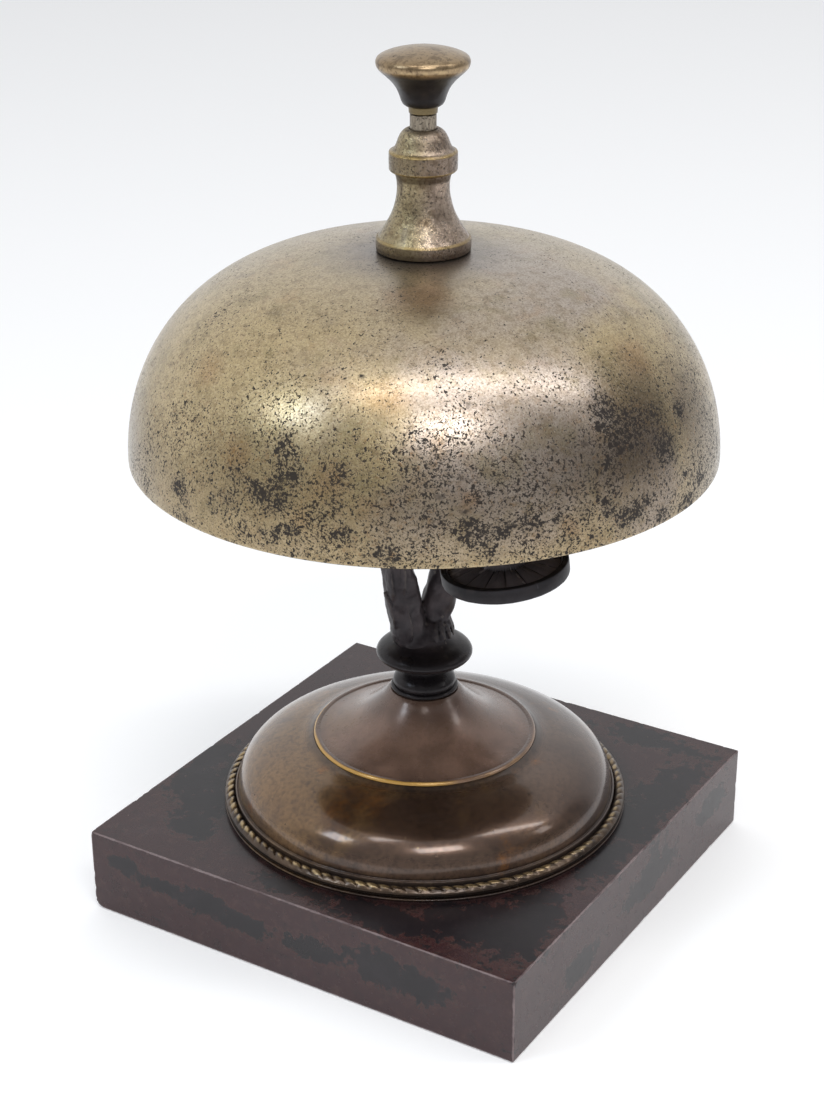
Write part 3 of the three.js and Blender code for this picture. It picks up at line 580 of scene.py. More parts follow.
def foot_metal(name, gold=False, shift=0.0):
    k = Mat(name)
    x, y, z = k.axes()
    r = k.radius()
    col = k.mix(k.step(k.noise(38, 5, 0.6, 0.4, shift=shift), 0.38, 0.62), srgb(74, 55, 45), srgb(101, 79, 64))
    # rubbed golden brown where hands and cloths reach, more towards -X -Y
    west = k.step(k.add(x, k.mul(y, 0.75)), 0.005, -0.042)
    rub = k.step(k.add(k.noise(42, 5, 0.62, 0.5, shift=shift + 3), k.mul(west, 0.17)), 0.55, 0.70)
    col = k.mix(k.mul(rub, 0.68), col, srgb(140, 109, 73))
    orange = k.step(k.add(k.noise(80, 5, 0.68, 0.4, shift=shift + 5), k.mul(west, 0.02)), 0.60, 0.72)
    orange = k.math("MAXIMUM", orange, k.mul(k.blob((2, -28, 30), 9.5, 0.95, 0.9, 160.0, 51), 0.85))
    col = k.mix(k.mul(orange, k.step(k.noise(420, 4, 0.7, shift=shift + 23), 0.38, 0.60, 0.20, 0.85)), col, srgb(142, 92, 44))
    blackish = k.step(k.noise(58, 5, 0.65, shift=shift + 7), 0.54, 0.70)
    col = k.mix(k.mul(blackish, 0.62), col, srgb(48, 38, 37))
    fine = k.noise(1100, 4, 0.65, shift=shift + 9)
    col = k.mix(k.step(fine, 0.44, 0.64, 0, 0.44), col, srgb(52, 38, 30))
    blot = k.step(k.noise(330, 5, 0.7, shift=shift + 21), 0.55, 0.68)
    col = k.mix(k.mul(blot, 0.48), col, srgb(50, 38, 33))
    pits = k.step(k.noise(560, 3, 0.6, shift=shift + 11), 0.69, 0.74)
    col = k.mix(k.mul(pits, 0.8), col, srgb(26, 20, 19))
    bright = k.step(k.noise(640, 2, 0.5, shift=shift + 13), 0.745, 0.775)
    col = k.mix(k.mul(bright, 0.7), col, srgb(196, 172, 130))
    rough = k.add(0.15, k.mul(k.noise(80, 4, 0.6, shift=shift + 15), 0.12), k.mul(fine, 0.07), k.mul(pits, 0.2))
    metal = 0.22 if gold else 0.66
    if gold:
        rough = k.add(rough, 0.03)
        col = k.mix(k.step(k.noise(130, 5, 0.66, 0.4, shift=41), 0.36, 0.64, 0.28, 0.66), col, srgb(156, 124, 108))
        # painted shade: the stem's neck shadows the middle of the cone
        col = k.mix(k.mul(k.step(r, 0.0125, 0.0085), 0.42), col, srgb(52, 40, 38))
    if gold:
        # brass edge, rubbed, with a painted highlight that leaves it bright only at the left front, and grime beside it
        w = k.mul(k.math("SUBTRACT", k.noise(220, 3, shift=31), 0.5), 0.0006)
        edge = k.step(k.add(r, w), 0.02262, 0.02292)
        wear_and_highlight = k.step(k.add(k.mul(k.noise(150, 4, shift=33), 0.8), k.mul(k.step(k.add(k.mul(x, -0.35), k.mul(y, -1.0)), 0.004, 0.021), 0.62)), 0.42, 0.92, 0.10, 0.95)
        col = k.mix(k.mul(edge, wear_and_highlight), col, srgb(204, 158, 78))
        beside = k.mul(k.step(r, 0.0200, 0.0224), k.math("SUBTRACT", 1.0, edge))
        col = k.mix(k.mul(beside, 0.38), col, srgb(58, 46, 42))
        rough = k.math("SUBTRACT", rough, k.mul(edge, 0.06))
    else:
        # dirt in the channel inside the beads and against the cone
        dirt = k.math("MAXIMUM", k.mul(k.step(z, (T + 3.6) * MM, (T + 2.4) * MM), k.step(r, 0.0445, 0.0400)), k.mul(k.step(r, 0.0256, 0.0236), 0.75))
        dirt = k.mul(dirt, k.step(k.noise(260, 4, 0.6, shift=35), 0.2, 0.5, 0.45, 1.0))
        col = k.mix(k.mul(dirt, 0.72), col, srgb(46, 40, 38))
        skirt = k.step(k.add(z, k.mul(k.math("SUBTRACT", k.noise(120, 3, shift=37), 0.5), 0.002)), (T + 7.5) * MM, (T + 4.0) * MM)
        rough = k.add(rough, k.mul(dirt, 0.22), k.mul(skirt, 0.16))
    n = k.bump(k.add(k.mul(k.noise(420, 5, 0.6, shift=shift + 17), 0.7), k.mul(pits, -0.9), k.mul(fine, 0.2)), 0.00004, 0.5)
    n = k.bump(k.noise(1.0, 4, 0.7, co=k.scaled(70, 70, 1500), shift=shift + 19), 0.000025, 0.4, n)
    return k.done(col, rough, metal, n, coat=(0.30, 0.13) if gold else (0.62, 0.095))


def bead_metal():
    k = Mat("bead_bronze")
    x, y, z = k.axes()
    r = k.radius()
    col = k.mix(k.step(k.noise(160, 5, 0.6), 0.36, 0.64), srgb(56, 45, 38), srgb(86, 69, 54))
    top = k.step(k.add(z, k.mul(k.math("SUBTRACT", k.noise(420, 4, shift=3), 0.5), 0.0010)), (T + 2.24) * MM, (T + 2.54) * MM)
    # worn crests with painted highlights: the strand tops are lighter, mostly at the left front
    wear_and_highlight = k.step(k.add(k.noise(90, 4, shift=5), k.mul(k.step(k.add(k.mul(x, -0.5), k.mul(y, -1.0)), -0.02, 0.035), 0.20)), 0.40, 0.68, 0.15, 0.85)
    col = k.mix(k.mul(top, wear_and_highlight), col, srgb(182, 158, 116))
    col = k.mix(k.step(z, (T + 1.9) * MM, (T + 0.9) * MM, 0, 0.55), col, srgb(40, 33, 31))
    rough = k.add(0.20, k.mul(k.noise(300, 4, shift=7), 0.18))
    return k.done(col, rough, 0.85, k.bump(k.noise(1200, 4, shift=9), 0.00005, 0.5), coat=(0.35, 0.16))


def casting(name, shift=0.0, base=(38, 35, 38), worn=(92, 84, 80), gloss=0.40, metal=0.30, turned=None, spec=0.30):
    k = Mat(name)
    x, y, z = k.axes()
    col = k.mix(k.step(k.noise(130, 5, 0.6, 0.3, shift=shift), 0.36, 0.66), srgb(*base), srgb(base[0] + 22, base[1] + 19, base[2] + 18))
    geo = k.t.nodes.new("ShaderNodeNewGeometry")
    ridge = k.step(geo.outputs["Pointiness"], 0.505, 0.56)
    ridge = k.mul(ridge, k.step(k.noise(260, 4, shift=shift + 3), 0.30, 0.60, 0.3, 1.0))
    col = k.mix(k.mul(ridge, 0.7), col, srgb(*worn))
    hole = k.step(geo.outputs["Pointiness"], 0.495, 0.44)
    col = k.mix(k.mul(hole, 0.8), col, srgb(16, 15, 16))
    brown = k.step(k.noise(110, 4, 0.6, shift=shift + 5), 0.55, 0.72)
    col = k.mix(k.mul(brown, 0.4), col, srgb(84, 64, 48))
    if turned:
        # the turned part below is blacker and smoother than the rest
        black = k.step(k.add(z, k.mul(k.math("SUBTRACT", k.noise(200, 3, shift=shift + 6), 0.5), 0.0016)), (turned + 1.0) * MM, (turned - 0.6) * MM)
        col = k.mix(k.mul(black, 0.66), col, srgb(19, 18, 20))
        gloss = k.lerp(black, gloss, gloss - 0.14)
    rough = k.add(k.math("SUBTRACT", gloss, 0.08), k.mul(k.noise(220, 5, 0.6, shift=shift + 7), 0.22), k.mul(hole, 0.15))
    n = k.bump(k.add(k.noise(520, 5, 0.65, shift=shift + 9), k.mul(k.noise(1500, 3, 0.6, shift=shift + 11), 0.4)), 0.00009, 0.7)
    k.b.inputs["Specular IOR Level"].default_value = spec
    return k.done(col, rough, metal, n)


def stone():
    k = Mat("plinth_stone")
    x, y, z = k.axes()
    plum = k.mix(k.noise(120, 6, 0.7, 0.4, shift=3), srgb(45, 25, 28), srgb(61, 37, 38))
    plum = k.mix(k.step(k.noise(420, 5, 0.7, shift=5), 0.50, 0.68, 0, 0.42), plum, srgb(82, 58, 52))
    plum = k.mix(k.step(k.noise(260, 5, 0.7, shift=6), 0.52, 0.66, 0, 0.55), plum, srgb(38, 27, 29))
    black = k.mix(k.noise(170, 6, 0.7, shift=7), srgb(20, 16, 19), srgb(34, 28, 32))
    # dark islands with crisp ragged edges: some large ones, and a scatter of smaller ones
    rag = k.add(k.mul(k.math("SUBTRACT", k.noise(380, 6, 0.78, 0.3, shift=11), 0.5), 4.2), k.mul(k.math("SUBTRACT", k.noise(90, 4, 0.65, shift=12), 0.5), 2.6))
    big = None
    for p, size in STONE_PATCHES:
        d = k.vec("LENGTH", k.scaled(*[1000 / v for v in size], co=k.vec("SUBTRACT", k.co, tuple(c * MM for c in p))))
        big = d if big is None else k.math("MINIMUM", big, d)
    isl = k.step(k.add(big, rag), 1.14, 0.92)
    more = k.step(k.add(k.noise(1.0, 7, 0.68, 0.9, co=k.scaled(30, 36, 60), shift=9), k.mul(k.math("SUBTRACT", k.noise(260, 5, 0.7, shift=13), 0.5), 0.10)), 0.615, 0.630)
    dark = k.math("MAXIMUM", isl, k.mul(more, 0.85))
    col = k.mix(dark, plum, black)
    halo = k.mul(k.step(k.add(big, rag), 1.5, 1.05), k.math("SUBTRACT", 1.0, isl))
    col = k.mix(k.mul(halo, 0.17), col, srgb(98, 66, 54))
    # grey bloom and pale crystals
    bloom = k.step(k.noise(90, 6, 0.7, 0.3, shift=15), 0.50, 0.75)
    col = k.mix(k.mul(bloom, 0.14), col, srgb(78, 68, 74))
    grain = k.step(k.noise(1900, 2, 0.6, shift=17), 0.62, 0.72)
    col = k.mix(k.mul(grain, 0.20), col, srgb(98, 80, 76))
    chip = k.step(k.noise(640, 2, 0.5, shift=18), 0.765, 0.79)
    col = k.mix(k.mul(chip, 0.5), col, srgb(134, 112, 106))
    holes = k.step(k.noise(430, 3, 0.6, shift=19), 0.725, 0.755)
    col = k.mix(k.mul(holes, 0.75), col, srgb(14, 12, 13))
    # painted contact shadow: a dark ring on the top face round the foot
    rim = k.mul(k.step(k.radius(), 0.0475, 0.0415), k.step(z, 0.0176, 0.0179))
    col = k.mix(k.mul(rim, k.step(k.noise(300, 4, 0.6, shift=29), 0.25, 0.6, 0.35, 0.85)), col, srgb(15, 11, 12))
    # light, dusty wear along the edges
    away = [k.math("ABSOLUTE", k.math("SUBTRACT", k.math("ABSOLUTE", q), 0.05)) for q in (x, y)]
    away.append(k.math("MINIMUM", k.math("ABSOLUTE", k.math("SUBTRACT", z, 0.018)), k.math("ABSOLUTE", z)))
    second = k.math("MAXIMUM", k.math("MINIMUM", away[0], away[1]), k.math("MINIMUM", k.math("MAXIMUM", away[0], away[1]), away[2]))
    edge = k.step(k.add(second, k.mul(k.math("SUBTRACT", k.noise(420, 4, 0.7, shift=22), 0.5), 0.0006)), 0.00036, 0.00014)
    edge = k.mul(edge, k.step(k.noise(90, 4, 0.6, shift=21), 0.32, 0.56, 0.25, 1.0))
    col = k.mix(k.mul(edge, 0.52), col, srgb(168, 152, 152))
    dust = k.noise(500, 4, 0.6, shift=23)
    rough = k.add(0.18, k.mul(k.noise(46, 5, 0.6, shift=25), 0.14), k.mul(dark, 0.04), k.mul(holes, 0.4), k.mul(edge, 0.3), k.mul(k.step(dust, 0.5, 0.8), 0.10))
    n = k.bump(k.add(k.mul(holes, -1.0), k.mul(k.noise(120, 4, shift=27), 0.25), k.mul(dust, 0.08), k.mul(dark, -0.10)), 0.00010, 0.55)
    return k.done(col, rough, 0.0, n, ior=1.47)


def steel(name, tone=(120, 117, 112), shift=0.0, rough0=0.34):
    k = Mat(name)
    col = k.mix(k.noise(300, 5, 0.6, shift=shift), srgb(*[int(c * 0.82) for c in tone]), srgb(*tone))
    stain = k.step(k.noise(420, 5, 0.65, shift=shift + 2), 0.54, 0.72)
    col = k.mix(k.mul(stain, 0.55), col, srgb(82, 62, 46))
    grime = k.step(k.noise(900, 4, 0.6, shift=shift + 4), 0.58, 0.72)
    col = k.mix(k.mul(grime, 0.6), col, srgb(34, 31, 30))
    rough = k.add(rough0 - 0.06, k.mul(k.noise(500, 4, shift=shift + 6), 0.24), k.mul(stain, 0.12))
    n = k.bump(k.noise(1400, 4, 0.6, shift=shift + 8), 0.00003, 0.6)
    return k.done(col, rough, 0.9, n)


def fibre():
    k = Mat("fibre_washer")
    col = k.mix(k.noise(900, 6, 0.7), srgb(74, 46, 30), srgb(112, 74, 48))
    col = k.mix(k.step(k.noise(160, 4, shift=2), 0.5, 0.7, 0, 0.6), col, srgb(44, 30, 24))
    return k.done(col, k.add(0.72, k.mul(k.noise(600, 3, shift=3), 0.15)), 0.0, k.bump(k.noise(2400, 5, 0.7, shift=4), 0.00008, 0.8))


M_BELL, M_INSIDE, M_SLEEVE, M_KNOB = bell_metal(), bell_inside(), sleeve_metal(), knob_metal()
M_FOOT, M_CONE, M_BEAD = foot_metal("foot_bronze"), foot_metal("cone_bronze", True, 40.0), bead_metal()
M_CAST, M_HEAD, M_STONE = casting("dark_casting", base=(47, 42, 45), turned=T + 35.6), casting("striker_casting", 50.0, (19, 18, 21), (70, 68, 72), 0.42, 0.15, spec=0.16), stone()
M_ROD = rod_metal()
# painted light: the striker's relief face takes a far lighter copy of the dark casting, standing in for light it lacks
# in the bell's shade
M_RELIEF_PAINTED_LIGHT = casting("striker_relief_painted_light", 55.0, (92, 87, 92), (156, 149, 151), 0.46, 0.0, spec=0.35)
M_DARKSTEEL = casting("dark_steel", 70.0, (62, 59, 58), (118, 112, 104), 0.44)
M_STEEL, M_SPRING = steel("steel_dull"), steel("spring_steel", (104, 100, 94), 20.0, 0.30)
M_BRASS, M_FIBRE = steel("brass_dull", (176, 142, 82), 40.0, 0.32), fibre()


def piece(obj, body, slot, material, *nodes):
    if not obj.data.materials:
        obj.data.materials.append(material)
    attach(obj, body)
    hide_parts(*nodes)
    return obj


# ------------------------------------------------------------------ plinth
def make_plinth():
    """A slab whose edges are worn round by differing amounts, with small chips along them."""
    h = 50.0
    ramp = [0, 0.07, 0.14, 0.22, 0.32, 0.45, 0.62, 0.9, 1.3]

    def lines(lo, hi, stepsize):
        a = [lo + v for v in ramp]
        b = [hi - v for v in reversed(ramp)]
        n = max(1, int(round((b[0] - a[-1]) / stepsize)))
        mid = [a[-1] + (b[0] - a[-1]) * i / n for i in range(1, n)]
        return a + mid + b
    X, Y, Z = lines(-h, h, 0.5), lines(-h, h, 0.5), lines(0, T, 0.5)
    bm = bmesh.new()
    cache = {}

    def vert(x, y, z):
        key = (round(x, 4), round(y, 4), round(z, 4))
        if key not in cache:
            cache[key] = bm.verts.new(key)
        return cache[key]

    def sheet(A, B, put, flip):
        g = [[vert(*put(a, b)) for b in B] for a in A]
        for i in range(len(A) - 1):
            for j in range(len(B) - 1):
                f = (g[i][j], g[i + 1][j], g[i + 1][j + 1], g[i][j + 1])
                bm.faces.new(f if not flip else f[::-1])
    sheet(X, Y, lambda a, b: (a, b, T), False)
    sheet(X, Y, lambda a, b: (a, b, 0.0), True)
    sheet(X, Z, lambda a, b: (a, -h, b), False)
    sheet(X, Z, lambda a, b: (a, h, b), True)
    sheet(Y, Z, lambda a, b: (-h, a, b), True)
    sheet(Y, Z, lambda a, b: (h, a, b), False)
    rng = np.random.default_rng(7)
    chips = []
    for _ in range(46):
        e = rng.integers(0, 12)
        t = rng.uniform(-h, h)
        s1, s2 = rng.choice([-1, 1]), rng.choice([-1, 1])
        if e < 5:
            c = (t, s1 * h, T if rng.random() < 0.75 else 0)
        elif e < 10:
            c = (s1 * h, t, T if rng.random() < 0.75 else 0)
        else:
            c = (s1 * h, s2 * h, rng.uniform(1, T - 1))
        chips.append((np.array(c), rng.uniform(0.25, 0.55)))
    chips += [(np.array((50, -50, T)), 0.7), (np.array((-50, -50, 0.5)), 1.1), (np.array((-49.6, -50, T)), 0.6), (np.array((50, -50, 5.0)), 0.5)]
    cc = np.array([c for c, _ in chips]); cr = np.array([r for _, r in chips])
    for v in bm.verts:
        p = np.array(v.co)
        r = 0.24 + 0.07 * fbm(p[0] * 0.12, p[1] * 0.12, p[2] * 0.12, 3)
        d = np.linalg.norm(cc - p, axis=1)
        near = d < cr * 2.0
        if near.any():
            k = int(np.argmax(np.where(near, 1 - d / (cr * 2.0), 0)))
            r += cr[k] * 0.85 * max(0.0, 1 - d[k] / (cr[k] * 1.7)) ** 0.8
        r = min(max(r, 0.12), 0.9)
        lo, hi = np.array((-h + r, -h + r, r)), np.array((h - r, h - r, T - r))
        q = np.clip(p, lo, hi)
        n = p - q
        ln = np.linalg.norm(n)
        if ln > 1e-9:
            p = q + n / ln * min(r, ln) if ln > r else p
        v.co = p * MM
    mesh = bpy.data.meshes.new("plinth")
    bm.to_mesh(mesh); bm.free()
    outward(mesh)
    o = link("plinth_slab", finish_mesh(mesh, 50))
    tool = lathe("tool", [(0, -1), (9.5, -1), (9.5, 6.85), (9.35, 7.0), (2.3, 7.0), (2.3, 19), (0, 19)], 96)
    boolean(o, tool, "DIFFERENCE", 50)
    return piece(o, "frame", "plinth_stone", M_STONE, "plinth")


make_plinth()


# -------------------------------------------------------------------- foot
def soft(amount, scale, shift=0.0):
    def f(x, y, z, r):
        return amount * noise.noise(Vector((x * scale + shift, y * scale, z * scale)))
    return f


def ellipse_arc(r0, z0, r1, z1, n=26):
    """From (r0, z0), where it stands upright, to (r1, z1), where it lies flat."""
    return [(r1 + (r0 - r1) * math.cos(t), z0 + (z1 - z0) * math.sin(t)) for t in np.linspace(0, math.pi / 2, n)]


dish = profile((36.8, 0.06), (42.3, 0.06, 0.15), (42.3, 0.42, 0.2), (39.98, 0.42, 0.1), (39.98, 2.95, 0.12), (39.62, 3.06, 0.12), (39.42, 2.86, 0.1), (39.30, 3.0, 0.1))
for i in range(1, 31):
    u = math.sin(math.pi / 2 * i / 36) ** 1.15
    dish.append((19 + 20.35 * math.sqrt(1 - (0.055 + 0.945 * u) ** 2.5), 2.4 + 11.7 * (0.055 + 0.945 * u)))
while dish[-1][0] < 25.4:
    dish.pop()
last = dish[-1]
dish += [(24.9, 13.92), (24.4, 14.08), (23.95, 14.32), (23.55, 14.62), (23.3, 14.7), (23.0, 14.35)]
dish += [(2.3, 14.1), (2.3, 11.9), (20, 11.9), (30, 9.9), (35.4, 6.4)]
foot = lathe("foot_dish", dish, 256, soft(0.05, 0.11), base=T)
piece(foot, "frame", "foot_bronze", M_FOOT, "foot_dish")


def make_beads():
    """A half-round moulding whose upper side carries a row of short slanted strands."""
    n, per = 106, 14
    seg = n * per
    section = 28
    co = []
    rng = np.random.default_rng(3)
    size = rng.uniform(0.80, 1.10, n); lean = rng.uniform(-0.14, 0.14, n)
    for i in range(seg):
        a = 2 * math.pi * i / seg
        for j in range(section):
            t = 2 * math.pi * j / section
            d = (math.cos(t), math.sin(t))
            over = max(-1.0, min(1.0, (t - math.radians(92)) / math.radians(58)))       # -1 outside, 1 inside
            s_ = i / per + 0.42 * over
            b = int(math.floor(s_)) % n
            u = s_ - math.floor(s_) - 0.5 + lean[b] * 0.25
            strand = max(0.0, 1 - abs(2 * u) ** 2.4) ** 0.6 * size[b]
            w = max(0.0, 1 - over * over) ** 0.7
            rad = 1.02 + 0.40 * w * (strand - 0.75)
            r = 40.98 + rad * d[0] + (0.28 if d[0] > 0 and d[1] < 0.4 else 0.28 * max(0.0, d[0]) * max(0.0, 1 - d[1]))
            z = 1.42 + rad * d[1]
            z = max(z, 0.46)
            co.append((r * math.cos(a) * MM, r * math.sin(a) * MM, (z + T) * MM))
    faces = []
    for i in range(seg):
        i2 = (i + 1) % seg
        for j in range(section):
            j2 = (j + 1) % section
            faces.append((i * section + j, i2 * section + j, i2 * section + j2, i * section + j2))
    mesh = bpy.data.meshes.new("beads")
    mesh.from_pydata(co, [], faces)
    outward(mesh)
    o = link("bead_moulding", finish_mesh(mesh, 60))
    return piece(o, "frame", "bead_bronze", M_BEAD, "bead_ring")


make_beads()

cone = profile((19, 14.4), (22.9, 14.4, 0.15), (23.2, 14.62, 0.15), (23.2, 15.0, 0.2), (22.85, 15.34, 0.2), (22.3, 15.34, 0.12), (22.0, 15.22, 0.1))
cone += profile([(21.6, 15.3), (19, 16.1), (15, 18.0), (11.5, 20.6), (9.0, 23.0), (7.7, 24.55), (7.1, 25.1)])
cone += [(2.3, 25.1), (2.3, 22.6), (6.0, 22.4), (10.5, 18.2)]
piece(lathe("foot_cone", cone, 224, soft(0.04, 0.14, 5), base=T), "frame", "cone_bronze", M_CONE, "foot_cone")

# -------------------------------------------------------------- stem, fork
stem = profile((2.3, 25.3), (6.9, 25.3, 0.15), (6.98, 25.75, 0.15), (6.75, 26.05, 0.12), (6.45, 26.15, 0.1))
stem += profile([(6.42, 26.3), (6.5, 26.8), (6.38, 27.4), (5.9, 28.1), (5.1, 28.8), (4.45, 29.4), (4.25, 29.9), (4.5, 30.4), (5.6, 30.95), (7.3, 31.5), (8.8, 32.15), (9.65, 32.85), (9.92, 33.45), (9.75, 34.1), (9.1, 34.85), (7.9, 35.5), (6.4, 36.0), (5.4, 36.6), (4.8, 37.6)])
stem += [(3.4, 38.8), (2.3, 38.8)]


def limb(name, stations, around=40, steps=90, rough=0.0, groove=0.0, shift=0.0):
    """A closed limb of oval section in the mechanism's YZ plane, with bark-like grooves. Stations are (y, z, ry, rx)."""
    c = np.array(catmull([(s[0], s[1]) for s in stations], 24))
    w = np.array(catmull([(s[2], s[3]) for s in stations], 24))
    k = np.linspace(0, len(c) - 1, steps)
    idx = np.arange(len(c))
    cy, cz = np.interp(k, idx, c[:, 0]), np.interp(k, idx, c[:, 1])
    ry, rx = np.interp(k, idx, w[:, 0]), np.interp(k, idx, w[:, 1])
    ty, tz = np.gradient(cy), np.gradient(cz)
    ln = np.hypot(ty, tz); ty, tz = ty / ln, tz / ln
    co = []
    for i in range(steps):
        for j in range(around):
            a = 2 * math.pi * j / around
            bark = groove * math.sin(a * 7 + cz[i] * 0.16 + 1.5 * noise.noise(Vector((cz[i] * 0.1, a, shift)))) * (0.5 + 0.5 * noise.noise(Vector((cz[i] * 0.12, a * 0.7, shift + 9))))
            lump = rough * noise.noise(Vector((math.cos(a) * 1.6, math.sin(a) * 1.6, cz[i] * 0.32 + shift)))
            ca, sa = math.cos(a), math.sin(a)
            dy, dx = (ry[i] + bark + lump) * ca, (rx[i] + bark + lump) * sa
            co.append((dx, cy[i] + dy * tz[i], cz[i] - dy * ty[i]))
    faces = []
    for i in range(steps - 1):
        for j in range(around):
            j2 = (j + 1) % around
            faces.append((i * around + j, i * around + j2, (i + 1) * around + j2, (i + 1) * around + j))
    co += [(0, cy[0], cz[0]), (0, cy[-1], cz[-1])]
    n0, n1 = len(co) - 2, len(co) - 1
    for j in range(around):
        j2 = (j + 1) % around
        faces.append((n0, j2, j)); faces.append((n1, (steps - 1) * around + j, (steps - 1) * around + j2))
    mesh = bpy.data.meshes.new(name)
    mesh.from_pydata([(a * MM, b * MM, (c_ + T) * MM) for a, b, c_ in co], [], faces)
    outward(mesh)
    return link(name, mesh)


def lobe(name, points, widths, thick=0.5, seg=12):
    """A leaf finger: a flattened tapered tube through points (mm, z from the plinth's top), in the mechanism frame."""
    p = [Vector(q) for q in catmull(points, 8)]
    w = [float(x) for x in np.interp(np.linspace(0, 1, len(p)), np.linspace(0, 1, len(widths)), widths)]
    co, faces = [], []
    axis_out = Vector((p[len(p) // 2].x, p[len(p) // 2].y, 0)).normalized()
    for i, q in enumerate(p):
        d = (p[min(i + 1, len(p) - 1)] - p[max(i - 1, 0)]).normalized()
        side = d.cross(axis_out).normalized(); outn = side.cross(d).normalized()
        for j in range(seg):
            a = 2 * math.pi * j / seg
            co.append(q + side * (math.cos(a) * w[i]) + outn * (math.sin(a) * thick * (0.35 + 0.65 * w[i] / max(w))))
    m = len(p)
    for i in range(m - 1):
        for j in range(seg):
            j2 = (j + 1) % seg
            faces.append((i * seg + j, i * seg + j2, (i + 1) * seg + j2, (i + 1) * seg + j))
    co += [p[0], p[-1]]
    for j in range(seg):
        j2 = (j + 1) % seg
        faces.append((m * seg, j2, j)); faces.append((m * seg + 1, (m - 1) * seg + j, (m - 1) * seg + j2))
    mesh = bpy.data.meshes.new(name)
    mesh.from_pydata([(c.x * MM, c.y * MM, (c.z + T) * MM) for c in co], [], faces)
    outward(mesh)
    return link(name, mesh)


